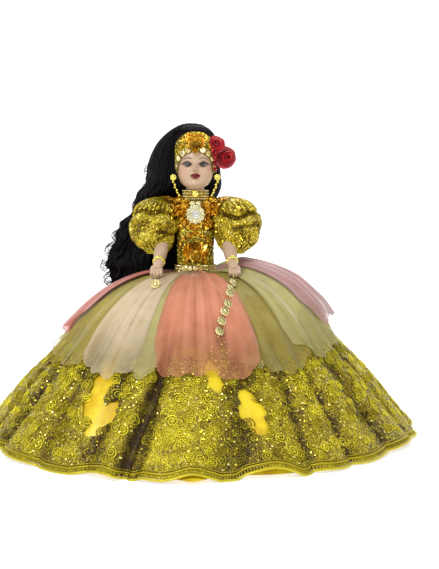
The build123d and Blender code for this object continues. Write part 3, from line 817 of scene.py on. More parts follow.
def petal_point(number, across, down):
    """Points on a petal. across runs from -1 to 1 and down from 0 at the waist to 1 at the hem."""
    centre, half, hem_height, first, last = PETALS[number]
    seed = float(number)
    drop = float(share_at(hem_height * MM))
    corner = 0.10 * np.abs(across) ** 5 + 0.022 * np.sin(5 * across + 2 * seed)
    corner = corner + 0.012 * np.sin(17 * across + seed)
    share = (drop - corner * drop) * down
    narrow = 1.02 - 0.10 * ease(0.85, 1.0, down) * across**2 + 0.04 * np.sin(3 * down + seed)
    angle = np.radians(centre + half * across * narrow)
    edge = first + (last - first) * (across + 1) / 2
    gathers = 0.9 * np.sin(80 * angle + 3 * np.sin(6 * angle)) * ease(0.5, 0.05, share / drop)
    folds = 1.5 * np.sin(15 * angle + 1.0) + 1.2 * np.sin(31 * angle + 2 * np.sin(3 * angle) + 2 * share)
    folds = folds * (0.4 + 1.3 * ease(0.15, 0.5, share)) * ease(0.02, 0.15, share)
    ripple = 2.4 * np.sin(47 * angle + 1.5 * np.sin(11 * angle)) * ease(0.36, 0.56, share)
    ripple = ripple + 1.6 * np.sin(13 * across + 2 * seed) * ease(0.82, 1.0, down)
    flare = 4.0 * ease(0.30, 0.56, share) + 1.2 * np.sin(9 * across + seed) * ease(0.85, 1.0, down)
    crease = 0.0
    if number == "01":
        crease = 5.0 * bell(across, 0.25 + 0.25 * down, 0.045 + 0.15 * down) * ease(0.9, 0.2, down)
    lift = edge * ease(0.0, 0.25, down) + gathers + folds + ripple + flare + crease
    points = skirt_point(angle, share, lift * MM)
    waist = ease(0.06, 0.0, down)[..., None]
    return points * (1 - waist * vec(0.10, 0.16, 0)) + waist * vec(0, 0, 1.6) * MM


def petal_piece(node, number, name, colour, first=-1.0, last=1.0, extra=0.0, longer=0.0):
    """A petal, or a strip of one, with its rolled hem. extra moves it outwards, and longer lowers its hem."""
    across = np.linspace(first, last, max(24, int(110 * (last - first) / 2)))
    down = np.linspace(0, 1 + longer, 80)
    v, u = np.meshgrid(down, across, indexing="ij")
    points = petal_point(number, u, v)
    points[..., :2] *= 1 + extra / np.maximum(np.linalg.norm(points[..., :2], axis=-1, keepdims=True), 0.02)
    points[..., 2] += extra * 0.5
    sheer = np.maximum(ease(0.60, 0.97, v), 0.7 * ease(0.84, 1.0, np.abs(u)))
    if number == "01":
        sheer = np.maximum(sheer, 1.25 * bell(u, 0.28, 0.16) * ease(0.55, 0.8, v))
    seed = float(number)
    # Painted light and shade for the organza: light and dark streaks down the petal, and shade painted in
    # near the waist.
    streak = np.sin(15 * u + 3.2 * np.sin(2.3 * u + seed) + 0.9 * v)
    streak = streak + 0.45 * np.sin(41 * u + 3 * np.sin(5 * u + seed) + 2 * v)
    strength = (0.25 + 0.75 * ease(0.0, 0.5, v)) * (0.55 + 0.45 * np.sin(3.1 * u + 1.7 * seed))
    fold_shading = 0.52 + 0.22 * streak * strength - 0.3 * ease(0.16, 0.0, v)
    values = {"sheer": sheer.ravel(), "fold_shading": fold_shading.ravel()}
    faces = grid_faces(len(down), len(across))
    slot = ("pink" if colour == "rose" else colour) + "_organza"
    cloth = make(name, points.reshape(-1, 3), faces, ORGANZA[colour], "doll", slot, **values)
    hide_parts(node)
    edge = np.concatenate([points[:, 0], points[-1, 1:-1], points[::-1, -1]])
    rolled, rolled_faces = tube(edge, 0.38 * MM, 5)
    values = {"sheer": 0.7 + 0 * rolled[:, 0], "fold_shading": 0.6 + 0 * rolled[:, 0]}
    rim = make(name + "_hem", rolled, rolled_faces, ORGANZA[colour], "doll", slot, **values)
    return cloth, rim


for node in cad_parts:
    if node.startswith("panel_"):
        _, number, colour = node.split("_")
        # One pink panel is of a redder cloth than the other.
        colour = "rose" if number == "10" else colour
        petal_piece(node, number, node + "_cloth", colour)
# A narrow strip of moss organza shows beside the salmon petal.
strip = petal_piece("panel_12_cream", "12", "panel_12_moss_strip", "moss", 0.52, 1.16, 1.2 * MM, 0.04)


# ---------------------------------------------------------------- bodies made of elliptical sections
# Sections as (height, centre x, centre y, radius x, radius y), in millimetres, as in the CAD.
TORSO = [
    (182, 0, 0, 22.5, 18),
    (196, 0, 0, 23, 18.5),
    (208, 0, 0, 21.7, 17.5),
    (235, 0, 0, 21.7, 18),
    (262, 0, 0, 21.7, 17.5),
    (283, 0, 0, 20, 15.5),
    (294, 0, 0, 14.5, 13.5),
    (299, 0, 0, 12.5, 12.5),
]
SKULL = [
    (314, 0, -14, 8, 8),
    (320, 0, -9, 17, 19),
    (332, 0, -4, 23, 27),
    (350, 0, -2, 25.5, 31),
    (368, 0, 0, 25.5, 31),
    (382, 0, 1, 20, 25),
    (391, 0, 2, 10, 12),
]
PUFF = [
    (231, 49, -21, 10, 10),
    (234, 50, -19, 13, 13),
    (239, 52, -14, 20, 20),
    (247, 54, -10, 26, 25),
    (258, 54, -8, 29, 28),
    (270, 54, -8, 29.8, 29),
    (283, 53, -7, 28, 27.5),
    (293, 50, -6, 24.5, 22.5),
    (300, 46, -4, 18, 15),
    (303.5, 42, -3, 9, 6),
]


class Sections:
    """A surface through elliptical sections, with points named by an angle round it and a height."""

    def __init__(self, sections, mirrored=1):
        rows = smooth_line(np.array(sections) * MM, 300)
        self.rows = rows * vec(1, mirrored, 1, 1, 1)

    def radii(self, height):
        return [np.interp(height, self.rows[:, 0], self.rows[:, i]) for i in range(1, 5)]

    def __call__(self, angle, height, x=0.0, y=0.0, lift=0.0):
        height = height + y
        centre_x, centre_y, radius_x, radius_y = self.radii(height)
        angle = angle + x / np.maximum((radius_x + radius_y) / 2, 0.004)
        out_x, out_y = np.cos(angle) * (radius_x + lift), np.sin(angle) * (radius_y + lift)
        return np.stack(np.broadcast_arrays(centre_x + out_x, centre_y + out_y, height), axis=-1)


torso_at, skull_at = Sections(TORSO), Sections(SKULL)


def section_cloth(surface, low, high, around, up, lift):
    """A ring of cloth on a sections surface; lift is a function of angle and height."""
    angle, height = ring_grid(low, high, up, around)
    return surface(angle, height, lift=lift(angle, height)).reshape(-1, 3), ring_faces(up, around)


def lifted(surface, extra):
    """The same surface, further out."""
    return lambda across, down, x, y, lift: surface(across, down, x, y, lift + extra)


def sequin_flower(cluster, surface, angle, height, radius, leaves, lift, tilt):
    """Leaf-shaped sequins in two rings about a domed one. radius and lift are in millimetres."""
    near, radius = lifted(surface, lift * MM), radius * MM
    for ring, count in ((1.0, leaves), (0.62, leaves - 1)):
        turns = tilt + (np.arange(count) + ring) / count * TURN
        tints = random.uniform(0.25, 1.0, count)
        cluster.drape(leaf(5, 0.34, 0.35), near, angle, height, turns, ring * radius, tints)
    cluster.drape(gem(7, 0.8), near, angle, height, 0.3, radius * 0.24, 0.9)


def double_flower(cluster, surface, place, radius, lifts, tilt):
    """Two sequin flowers, the smaller on the larger."""
    for lift in lifts:
        sequin_flower(cluster, surface, *place, radius - lift, 8, lift, tilt + lift)


# ---------------------------------------------------------------- the bodice and the belt
def bodice_at(angle, height, x, y, lift):
    """Points just off the bodice."""
    return torso_at(angle, height, x, y, lift + bodice_lift(angle, height) + 0.2 * MM)


def bodice_lift(angle, height):
    """How far the bodice stands off the cloth body: less at the waist, and less along its two seams."""
    seams = sum(bell(wrap(angle - FRONT - s * 0.62), 0, 0.03) for s in (-1, 1))
    return (2.5 - 0.4 * seams - 1.3 * bell(height, 0.232, 0.022)) * MM


BODICE_LOW, BODICE_HIGH = 0.2072, 0.2993
points, faces = section_cloth(torso_at, BODICE_LOW, BODICE_HIGH, around=160, up=90, lift=bodice_lift)
bodice = make("bodice_cloth", points, faces, TRIM, "doll", "gold_sequin")
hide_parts("bodice")

BODICE_SEQUINS = 2600
gold_sequins, amber_sequins = Cluster(), Cluster()
angles = random.uniform(-math.pi, math.pi, BODICE_SEQUINS)
heights = random.uniform(0.213, 0.297, BODICE_SEQUINS)
sizes = random.uniform(0.8, 1.5, BODICE_SEQUINS) * MM
turns = random.uniform(0, TURN, BODICE_SEQUINS)
yoke = heights > 0.262 + 0.008 * np.cos(2 * (angles - FRONT))
for cluster, cup, part in ((gold_sequins, 0.6, ~yoke), (amber_sequins, 0.7, yoke)):
    tints = random.random(part.sum())
    cluster.drape(
        cupped_disc(6, cup), bodice_at, angles[part], heights[part], turns[part], sizes[part], tints
    )
for row, height in enumerate(np.arange(0.266, 0.297, 0.0052)):
    for angle in round_angles(16, -math.pi) + 0.2 * (row % 2):
        radius = random.uniform(3.4, 4.8)
        place = angle + random.normal(0, 0.05), height + random.normal(0, 0.7) * MM
        sequin_flower(amber_sequins, bodice_at, *place, radius, 6, 0.6, random.random() * 6)
for radius, leaves, lift in ((13.5, 13, 0.7), (9.0, 9, 1.6), (4.8, 7, 2.4)):
    sequin_flower(amber_sequins, bodice_at, FRONT, 0.2335, radius, leaves, lift, 0.2 * leaves)
for side in (-1, 1):
    for height, offset in ((0.2535, 0.30), (0.2495, 0.62), (0.243, 0.85), (0.2205, 0.5), (0.257, 0.02)):
        sequin_flower(amber_sequins, bodice_at, FRONT + side * offset, height, 3.6, 6, 0.7, height * 99)


def strap_surface(sign):
    """The strap over a shoulder: a place is its distance from the middle and its angle over the top."""

    def surface(out, over, x=0.0, y=0.0, lift=0.0):
        over = over + y / (17 * MM)
        out = np.broadcast_to(out + x, np.broadcast(out + x, over, lift).shape)
        drop = 5.0 * MM * ease(20 * MM, 38 * MM, out)
        y, z = -(17.4 * MM + lift) * np.sin(over), (17.6 * MM + lift) * np.cos(over)
        return np.stack(np.broadcast_arrays(sign * out, y, 284.5 * MM - drop + z), axis=-1)

    return surface


for side, sign in SIDES.items():
    strap_at = strap_surface(sign)
    over, out = np.meshgrid(np.linspace(-1.7, 1.7, 60), np.linspace(9, 34, 30) * MM, indexing="ij")
    points, faces = strap_at(out, over).reshape(-1, 3), grid_faces(*over.shape)[:, ::sign]
    strap = make(f"shoulder_strap_{side}", points, faces, TRIM, "doll", "gold_sequin")
    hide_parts("bodice")
    for out in np.arange(12, 34, 5.5) * MM:
        for over in np.linspace(-1.5, 1.6, 10):
            place = out + random.normal(0, 0.8) * MM, over + random.normal(0, 0.05)
            sequin_flower(amber_sequins, strap_at, *place, random.uniform(3.6, 4.8), 6, 0.4, over * 9)
# Double flowers on the straps, as (distance from the middle, angle over the top, radius).
STRAP_FLOWERS = ((31, 0.95, 6.0), (35, 0.45, 5.2), (27, 1.35, 5.4), (35, -0.2, 4.6), (22, 0.8, 5.6))
for sign in SIDES.values():
    for out, over, radius in STRAP_FLOWERS:
        double_flower(amber_sequins, strap_surface(sign), (out * MM, over), radius, (0.8, 1.7), over)
amber_sequins = amber_sequins.piece("bodice_amber_sequins", AMBER, "doll", "gold_sequin", smooth=False)
gold_sequins = gold_sequins.piece("bodice_gold_sequins", SEQUIN, "doll", "gold_sequin", smooth=False)

BELT_LOW, BELT_HIGH = 0.2068, 0.2152


def belt_at(angle, height, x, y, lift):
    """Points on the outside of the waistband."""
    return torso_at(angle, height, x, y, lift + 5.2 * MM)


def belt_lift(angle, height):
    """How far the waistband stands off the cloth body: most in its middle, with fine gathers."""
    middle = bell(height, (BELT_LOW + BELT_HIGH) / 2, 0.004)
    return 3.6 * MM + 1.6 * MM * middle + 0.25 * MM * np.sin(60 * angle) * middle


points, faces = section_cloth(torso_at, BELT_LOW, BELT_HIGH, around=260, up=16, lift=belt_lift)
belt = make("waistband_cloth", points, faces, TRIM, "doll", "gold_lace")
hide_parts("waistband")
belt_coins = Cluster()
belt_angles = FRONT + np.linspace(-1.35, 1.35, 11)
belt_sizes = np.array([2.3, 2.4, 2.5, 3.9, 2.6, 2.5, 2.6, 2.6, 2.5, 2.4, 2.3]) * MM
belt_coins.drape(button(14, 0.3), belt_at, belt_angles, 0.2112, 0.0, belt_sizes, random.random(11))
for height in (BELT_LOW + 0.6 * MM, BELT_HIGH - 0.4 * MM):
    sizes = random.uniform(0.6, 1.0, 90) * MM
    belt_coins.drape(gem(6, 0.8), belt_at, round_angles(90, -math.pi), height, 0.0, sizes, random.random(90))
belt_coins = belt_coins.piece("belt_coins_struck", COIN, "doll", "gold_coin", smooth=False)
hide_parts("belt_coins")


# ---------------------------------------------------------------- the puff sleeves
def sleeve_surface(side):
    """The creased surface of one puff sleeve."""
    sign = SIDES[side]
    puff = Sections(PUFF, sign)
    seed = 1.7 * sign

    def creases(angle, height):
        inward = angle if sign > 0 else math.pi - angle
        t = (height - 0.231) / 0.0725
        gathers = np.sin(24 * inward + 2.0 * np.sin(3 * inward + seed))
        gathers = gathers * (ease(0.42, 0.0, t) * 1.3 + ease(0.62, 1.0, t) * 1.5)
        slanted = inward + 2.2 * t
        soft = 1.1 * np.sin(5 * slanted + seed) * bell(t, 0.5, 0.3)
        pleat_height = 0.70 + 0.05 * np.sin(2 * inward + seed) + 0.025 * np.sin(5 * inward)
        pleat = bell(t, pleat_height, 0.035) - 0.45 * bell(t, pleat_height - 0.10, 0.06)
        pleat = pleat * (1 - 0.7 * bell(wrap(inward), 0, 0.55))
        second = bell(t, 0.42 + 0.09 * np.sin(inward * 1.5 + 1 + seed), 0.03)
        second = second * ease(-0.2, 0.7, np.sin(2 * inward + 2 + seed))
        crumple = 0.55 * np.sin(13 * inward + 31 * t + seed) * np.sin(19 * t - 7 * inward)
        return (gathers + 1.5 * soft - 4.2 * pleat - 3.0 * second + crumple) * MM

    def surface(angle, height, x=0.0, y=0.0, lift=0.0):
        return puff(angle, height, x, y, lift + creases(angle, height + y))

    return surface, creases


SLEEVE_LOW, SLEEVE_HIGH, SLEEVE_ROWS, SLEEVE_AROUND = 0.2312, 0.3033, 150, 260
SLEEVE_SEQUINS, SLEEVE_SPIRALS = 2100, 330
# The rings that close each end of a sleeve, as shares of its last ring's size.
CLOSING = (0.02, 0.2, 0.4, 0.6, 0.8)
# Flowers over the inner top of each sleeve, as (angle from the front, height, radius in millimetres).
SLEEVE_FLOWERS = (
    (0.95, 0.2985, 6.2),
    (1.35, 0.2995, 5.6),
    (0.62, 0.3000, 5.4),
    (1.25, 0.2925, 5.6),
    (0.85, 0.2925, 5.0),
    (1.70, 0.2965, 5.2),
    (0.35, 0.3015, 4.4),
    (1.05, 0.2865, 4.6),
)


def closing(ring, shares, rise):
    """Smaller and smaller copies of a ring, each a little higher."""
    middle = ring.mean(axis=0)
    return [middle + (ring - middle) * share + vec(0, 0, rise * (1 - share)) * MM for share in shares]


for side, sign in SIDES.items():
    sleeve_at, sleeve_creases = sleeve_surface(side)

    # How lit a place on the sleeve is painted: 0 in its creases, where shade is painted into the lace and
    # onto its sequins, and 1 on its crests.
    def crest_of(angle, height):
        return ease(-2.6 * MM, 1.1 * MM, sleeve_creases(angle, height))

    body = f"arm_{side}"
    angle, height = ring_grid(SLEEVE_LOW, SLEEVE_HIGH, SLEEVE_ROWS, SLEEVE_AROUND)
    rows, crest = sleeve_at(angle, height), crest_of(angle, height)
    points = np.concatenate([closing(rows[0], CLOSING, 4), rows, closing(rows[-1], CLOSING[::-1], 1.2)])
    ends = np.ones((len(CLOSING), SLEEVE_AROUND))
    # The closing rings at each end are painted partly shaded.
    crest = np.concatenate([0.3 * ends, crest, 0.5 * ends]).ravel()
    faces = ring_faces(len(points), SLEEVE_AROUND)
    sleeve = make(
        f"sleeve_{side}_cloth", points.reshape(-1, 3), faces, SLEEVE, body, "sleeve_lace", crest=crest
    )
    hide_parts(f"sleeve_{side}")
    glitter = Cluster()
    spots = random.uniform(-math.pi, math.pi, SLEEVE_SEQUINS)
    levels = random.uniform(0.236, 0.3005, SLEEVE_SEQUINS)
    turns, sizes = turns_and_sizes(SLEEVE_SEQUINS, 0.7, 1.35)
    # Sequins in the creases are painted darker, as shade.
    tints = crest_of(spots, levels) * random.random(SLEEVE_SEQUINS)
    glitter.drape(cupped_disc(6, 0.55), sleeve_at, spots, levels, turns, sizes, tints)
    spots = random.uniform(-math.pi, math.pi, SLEEVE_SPIRALS)
    levels = random.uniform(0.238, 0.299, SLEEVE_SPIRALS)
    turns, sizes = turns_and_sizes(SLEEVE_SPIRALS, 1.8, 3.0)
    tints = random.uniform(0, 0.7, SLEEVE_SPIRALS)
    glitter.drape(spiral(1.6, 3, 12, 0.12), sleeve_at, spots, levels, turns, sizes, tints)
    glitter.piece(f"sleeve_{side}_sequins", SEQUIN, body, "gold_sequin", smooth=False)
    flowers = Cluster()
    for turn, height, radius in SLEEVE_FLOWERS:
        double_flower(flowers, sleeve_at, (FRONT - sign * turn, height), radius, (0.9, 1.9), turn)
    flowers.piece(f"sleeve_{side}_amber_flowers", AMBER, body, "gold_sequin", smooth=False)
    band = Cluster()
    for level, radius in ((0.2322, 1.2), (0.2345, 1.0)):
        path = sleeve_at(round_angles(120), level, lift=0.4 * MM)
        band.cord(path, radius * MM, 6, 0.6, closed=True)
    band.piece(f"sleeve_{side}_cuff", CORD, body, "gold_cord")


# ---------------------------------------------------------------- the forearms and the hands
ELBOW, WRIST, KNUCKLES = vec(43, -24, 242) * MM, vec(46, -54, 221) * MM, vec(49, -66, 209) * MM
BANGLE_REACH, BANGLE_RADIUS = 35 * MM, 8.0 * MM


def fused(name, parts, voxel, material, body, slot, rounds):
    """Overlapping closed shapes melted into one surface, and smoothed for some rounds."""
    raw = Cluster()
    for points, faces in parts:
        raw.add(points, faces, 0.5)
    made = raw.piece(name + "_raw", material)
    remesh = made.modifiers.new("melt", "REMESH")
    remesh.mode, remesh.voxel_size = "VOXEL", voxel
    soften = made.modifiers.new("soften", "SMOOTH")
    soften.factor, soften.iterations = 0.5, rounds
    mesh = bpy.data.meshes.new_from_object(made.evaluated_get(bpy.context.evaluated_depsgraph_get()))
    points = np.array([v.co for v in mesh.vertices])
    faces = [np.array([p.vertices[:] for p in mesh.polygons if len(p.vertices) == n]) for n in (3, 4)]
    bpy.data.objects.remove(made)
    return make(name, points, [f for f in faces if len(f)], material, body, slot)


def limb(path, radii):
    """A closed tube through a few points, with its own radius at each."""
    rows = smooth_line(np.column_stack([path, radii]), 40)
    return tube(rows[:, :3], rows[:, 3], 14)


for side, sign in SIDES.items():
    flip = vec(sign, 1, 1)
    forward = unit(KNUCKLES - WRIST)
    across = unit(np.cross(forward, vec(0, -0.6, 0.8)))
    palm_down = np.cross(across, forward)
    palm_down *= -np.sign(palm_down[2])
    parts = [limb([ELBOW, (ELBOW + WRIST) / 2, WRIST], vec(8.7, 8.5, 6.6) * MM)]
    palm = [WRIST + forward * reach * MM for reach in (-3, 5, 12)]
    parts.append(limb(palm, vec(6.6, 6.4, 5.2) * MM))
    for spread, long in ((-5.8, 0.92), (-1.9, 1.06), (1.9, 1.0), (5.6, 0.82)):
        root = WRIST + forward * 9 * MM + across * spread * 0.85 * MM
        bent = root + forward * 8.0 * long * MM + palm_down * 1.5 * MM + across * spread * 0.2 * MM
        tip = bent + palm_down * 7.0 * long * MM - forward * 1.0 * MM
        parts.append(limb([root, bent, tip, tip - forward * 2.4 * MM], vec(2.1, 1.95, 1.6, 1.1) * MM))
    thumb = WRIST + forward * 5 * MM - across * 5.5 * MM + palm_down * 2 * MM
    thumb_tip = thumb + forward * 8 * MM + palm_down * 4.5 * MM + across * 2.0 * MM
    thumb_joint = thumb + forward * 4 * MM - across * 1.5 * MM + palm_down * 2.5 * MM
    parts.append(limb([thumb, thumb_joint, thumb_tip], vec(2.9, 2.5, 1.7) * MM))
    parts = [(points * flip, faces) for points, faces in parts]
    arm = fused(f"forearm_{side}_porcelain", parts, 0.42 * MM, SKIN, f"arm_{side}", "porcelain_skin", 2)
    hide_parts(f"forearm_{side}")
    along = unit(WRIST - ELBOW)
    bracelet = Cluster()
    bangle_x = unit(np.cross(along, vec(0, 0, 1)))
    bangle_y = np.cross(along, bangle_x)
    bangle_at = ELBOW + along * BANGLE_REACH
    round_arm = circle(round_angles(20)) @ np.array([bangle_x, bangle_y, along])
    beads = (bangle_at + round_arm * 6.7 * MM) * flip
    bracelet.stamp(ball(6, 9), beads, XYZ, 1.55 * MM, random.random(20))
    bracelet.cord((bangle_at + round_arm * 6.6 * MM) * flip, 0.7 * MM, 6, 0.4, closed=True)
    for offset, size in ((0, 2.6), (0.35, 1.9), (-0.35, 1.9)):
        top = math.pi / 2 + offset
        way = bangle_x * math.cos(top) + bangle_y * math.sin(top)
        way = way * (1 if way[2] > 0 else -1)
        axes = (along * flip, np.cross(along, way) * flip, way * flip)
        bracelet.stamp(daisy(7, 0.4), (bangle_at + way * BANGLE_RADIUS) * flip, axes, size * MM, 0.8)
    bracelet = bracelet.piece(f"bracelet_{side}_beads", BEAD, f"arm_{side}", "yellow_bead")
    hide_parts(f"bracelet_{side}")


# ---------------------------------------------------------------- what the hands hold
DAISIES, DAISY_STEP = 7, 13.2 * MM
CHAIN_TOP = vec(44.0, -80.0, 205.0) * MM


def front_surface(x, share):
    """The outermost of the front petals and the skirt, at a place x to the side of the middle."""
    radius = np.interp(share, line_share, line[:, 0])
    angle = -math.acos(x / radius)
    best = skirt_point(angle, share, 3 * MM)
    for number in ("01", "02"):
        centre, half, hem_height, _, _ = PETALS[number]
        across = (math.degrees(angle) - centre) / half
        down = share / share_at(hem_height * MM)
        if abs(across) < 1.05 and down < 0.97:
            point = petal_point(number, np.array(across), np.array(down))
            if np.hypot(*point[:2]) > np.hypot(*best[:2]):
                best = point
    return best


chain, stones = Cluster(), Cluster()
x, share = CHAIN_TOP[0], np.interp(np.hypot(*CHAIN_TOP[:2]), line[:, 0], line_share)
places = []
for _ in range(DAISIES):
    here = front_surface(x, share)
    ahead = unit(front_surface(x - 3 * MM, share + DAISY_STEP / SKIRT_LENGTH) - here)
    facing = unit(np.cross(ahead, np.cross(vec(here[0], here[1], 0.02), ahead)))
    side_way = np.cross(facing, ahead)
    centre = here + facing * 2.0 * MM
    centre[2] = max(centre[2], 0.0)
    places.append((centre, facing))
    axes = (side_way, ahead, facing)
    chain.stamp(daisy(9, 0.2), centre, axes, 6.2 * MM, 0.75)
    chain.stamp(daisy(9, 0.22), centre + facing * 0.8 * MM, (ahead, side_way, facing), 3.9 * MM, 0.25)
    stones.stamp(gem(8, 0.55), centre + facing * 1.5 * MM, axes, 2.0 * MM, 0.5)
    studs = centre + circle(round_angles(9), 4.6, 1.0) @ np.array(axes) * MM
    stones.stamp(gem(6, 0.6), studs, axes, 0.75 * MM, random.random(9))
    x -= 3 * MM
    share += DAISY_STEP / SKIRT_LENGTH
for (a, up_a), (b, up_b) in zip(places, places[1:]):
    middle = (a + b) / 2 + (up_a + up_b) * 0.2 * MM
    chain.cord(smooth_line([a, middle, b], 8), 0.7 * MM, 6, 0.1)
top = places[0][0]
hand = vec(0.047, -0.072, 0.2085)
chain.cord(smooth_line([hand, (hand + top) / 2 + vec(0, -2, 1) * MM, top], 14), 0.8 * MM, 6, 0.1)
daisies = chain.piece("flower_chain_daisies", DAISY, "flower_chain", "daisy_enamel")
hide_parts("flower_chain")
stones.piece("flower_chain_stones", STONE, "flower_chain", "pale_gilt", smooth=False)

CHARM_AT, CHARM_FACING = vec(-49, -86, 197) * MM, vec(0, -0.8, 0.6)
CHARM_AXES = np.array([vec(1, 0, 0), np.cross(CHARM_FACING, vec(1, 0, 0)), CHARM_FACING])


def on_charm(angle, radius, lift=0.0):
    """Points on the face of the coin, by angle, radius and lift in millimetres."""
    return CHARM_AT + circle(angle, radius, lift) @ CHARM_AXES * MM


charm = Cluster()
turns = round_angles(60)
# Wavy rings of wire, as (radius, depth of the waves, thickness, sides, tint).
CHARM_RINGS = ((5.6, 0.35, 0.55, 6, 0.6), (4.2, 0.5, 0.4, 5, 0.9), (2.4, 0.4, 0.4, 5, 0.5))
for radius, wave, thick, sides, tint in CHARM_RINGS:
    path = on_charm(turns, radius + wave * np.cos(12 * turns), 0.6)
    charm.cord(path, thick * MM, sides, tint, closed=True)
spokes = round_angles(8)
for spoke in spokes:
    charm.cord([on_charm(spoke, 0.5), on_charm(spoke, 5.6)], 0.4 * MM, 5, 0.7)
charm.stamp(spiral(1.3, 4, 14, 0.14), on_charm(spokes + 0.4, 3.5, 0.5), CHARM_AXES, 1.0 * MM, 0.8)
charm.stamp(gem(8, 0.7), on_charm(0, 0, 0.6), CHARM_AXES, 1.9 * MM, 1.0)
loop_top = on_charm(math.pi / 2, 6)
held_at = vec(-0.0475, -0.074, 0.2055)
link = smooth_line([loop_top, on_charm(math.pi / 2, 10) + vec(0, 3, 1) * MM, held_at], 12)
charm.cord(link, 0.5 * MM, 6, 0.4)
charm = charm.piece("coin_charm_filigree", COIN, "arm_right", "gold_coin")
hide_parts("coin_charm")


# ---------------------------------------------------------------- the face
EYE_X, EYE_HEIGHT = 9.9 * MM, 344.0 * MM
EYE_HALF_WIDTH, EYE_HALF_HEIGHT, EYE_SLANT = 4.9 * MM, 2.75 * MM, 0.15 * MM
EYEBALL, EYEBALL_AT = 6.2 * MM, vec(8.9, -22.7, 343.8) * MM
GAZE = unit(vec(0.16, -1, -0.02))
IRIS_SCALE = 5.9 * MM
MOUTH_HEIGHT, NOSE_HEIGHT, BROW_HEIGHT = 330.0 * MM, 338.4 * MM, 350.6 * MM


def eye_opening(x, z):
    """Below 1 inside the almond opening of an eye."""
    u = (np.abs(x) - EYE_X) / EYE_HALF_WIDTH
    v = (z - EYE_HEIGHT - EYE_SLANT * u) / EYE_HALF_HEIGHT
    return u * u + v * v * (1 + 0.7 * u * u)


# The forms of the face, in millimetres: how far each stands forward, how far to the side its middle is, its
# half width, its height above the eyes, the nose or the mouth, and its half height.
FACE_FORMS = {
    EYE_HEIGHT: [
        (-2.3, EYE_X / MM, 6.5, 0.5, 4.6),  # eye sockets
        (0.9, 9.0, 9.0, 9.0, 4.0),  # brows
    ],
    NOSE_HEIGHT: [
        (1.7, 15.0, 7.5, -2.0, 8.0),  # cheeks
        (1.3, 2.9, 1.4, -1.2, 1.6),  # wings of the nose
    ],
    MOUTH_HEIGHT: [
        (2.1, 0, 5.0, 1.8, 1.5),  # upper lip
        (-0.5, 0, 0.9, 4.4, 2.2),  # groove over it
        (2.6, 0, 4.4, -2.2, 1.8),  # lower lip
        (-1.0, 0, 5.0, -0.1, 0.5),  # line between the lips
        (-0.9, 0, 6.0, -6.0, 1.8),  # dip below them
        (2.2, 0, 6.5, -11.0, 4.2),  # chin
    ],
}


def features(x, z):
    """How far the face stands forward of the plain skull, in metres."""
    side = np.abs(x) / MM
    above = (z - NOSE_HEIGHT) / MM
    bridge = 2.8 * bell(side, 0, 2.7) * ease(-1.0, 2.0, above) * ease(15.0, 2.0, above)
    tip = 5.2 * bell(side, 0, 3.1) * bell(above, 0, 2.9) * ease(-3.6, -1.2, above)
    shape = bridge + tip
    for base, forms in FACE_FORMS.items():
        for forwards, middle, half_width, rise, half_height in forms:
            width = bell(side, middle, half_width)
            shape = shape + forwards * width * bell((z - base) / MM, rise, half_height)
    return shape * MM


def face_point(x, z, lift=0.0):
    """A point on the front of the face."""
    x, z = np.broadcast_arrays(np.asarray(x, float), np.asarray(z, float))
    _, centre_y, radius_x, radius_y = skull_at.radii(z)
    depth = np.sqrt(np.clip(1 - (x / radius_x) ** 2, 0.02, 1))
    return np.stack([x, centre_y - radius_y * depth - features(x, z) - lift, z], axis=-1)


FACE_LOW, FACE_HIGH, FACE_ROWS, FACE_AROUND = 0.3141, 0.3905, 240, 340
t = np.linspace(-1, 1, FACE_AROUND, endpoint=False)
# Finer at the front of the head than behind it.
columns = FRONT + math.pi * (0.4 * t + 0.6 * t**3)
height, angle = np.meshgrid(np.linspace(FACE_LOW, FACE_HIGH, FACE_ROWS), columns, indexing="ij")
points = skull_at(angle, height)
front_facing = ease(-0.15, 0.5, -np.sin(angle))
x, z = points[..., 0], points[..., 2]
points[..., 1] -= features(x, z) * front_facing
opening = eye_opening(x, z)
points[..., 1] += 5.0 * MM * ease(1.12, 0.88, opening) * front_facing
lip_width = np.abs(x) / (6.3 * MM)
bow = 1 - 0.24 * bell(x, 0, 1.1 * MM)
lip_rise = np.where(z > MOUTH_HEIGHT, 3.6 * MM * bow, 4.0 * MM) * (1 - 0.75 * lip_width**2)
lip_share = np.maximum(np.abs(z - MOUTH_HEIGHT) / np.maximum(lip_rise, 0.1 * MM), lip_width)
lips = ease(1.12, 0.9, lip_share) * front_facing
# Shade painted into the gap between the lips, and more faintly into the nostrils.
gap_shade = bell(z, MOUTH_HEIGHT - 0.1 * MM, 0.35 * MM) * lips
nostrils = bell(np.abs(x), 1.9 * MM, 0.8 * MM) * bell(z, NOSE_HEIGHT - 2.9 * MM, 0.6 * MM) * front_facing
gap_shade = np.maximum(gap_shade, 0.30 * nostrils)
blush = bell(np.abs(x), 15.5 * MM, 7 * MM) * bell(z, 335 * MM, 7 * MM) * front_facing
brow_share = (np.abs(x) - 3.5 * MM) / (14.5 * MM)
brow_arch = 2.6 * np.sin(math.pi * np.clip(brow_share, 0, 1) ** 0.9) - 1.6 * brow_share
brow_line = BROW_HEIGHT + brow_arch * MM
brow_ends = ease(0.0, 0.15, brow_share) * ease(1.05, 0.75, brow_share)
brows = bell(z, brow_line, 0.95 * MM) * brow_ends * front_facing
outside = ease(-0.9, 0.1, (np.abs(x) - EYE_X) / EYE_HALF_WIDTH)
smoke = ease(3.4, 1.0, opening * np.where(z > EYE_HEIGHT, 0.62, 1.7)) * (0.35 + 0.65 * outside)
paint = {"lips": lips, "gap_shade": gap_shade, "blush": blush, "brows": brows, "smoke": smoke * front_facing}
paint = {name: values.ravel() for name, values in paint.items()}
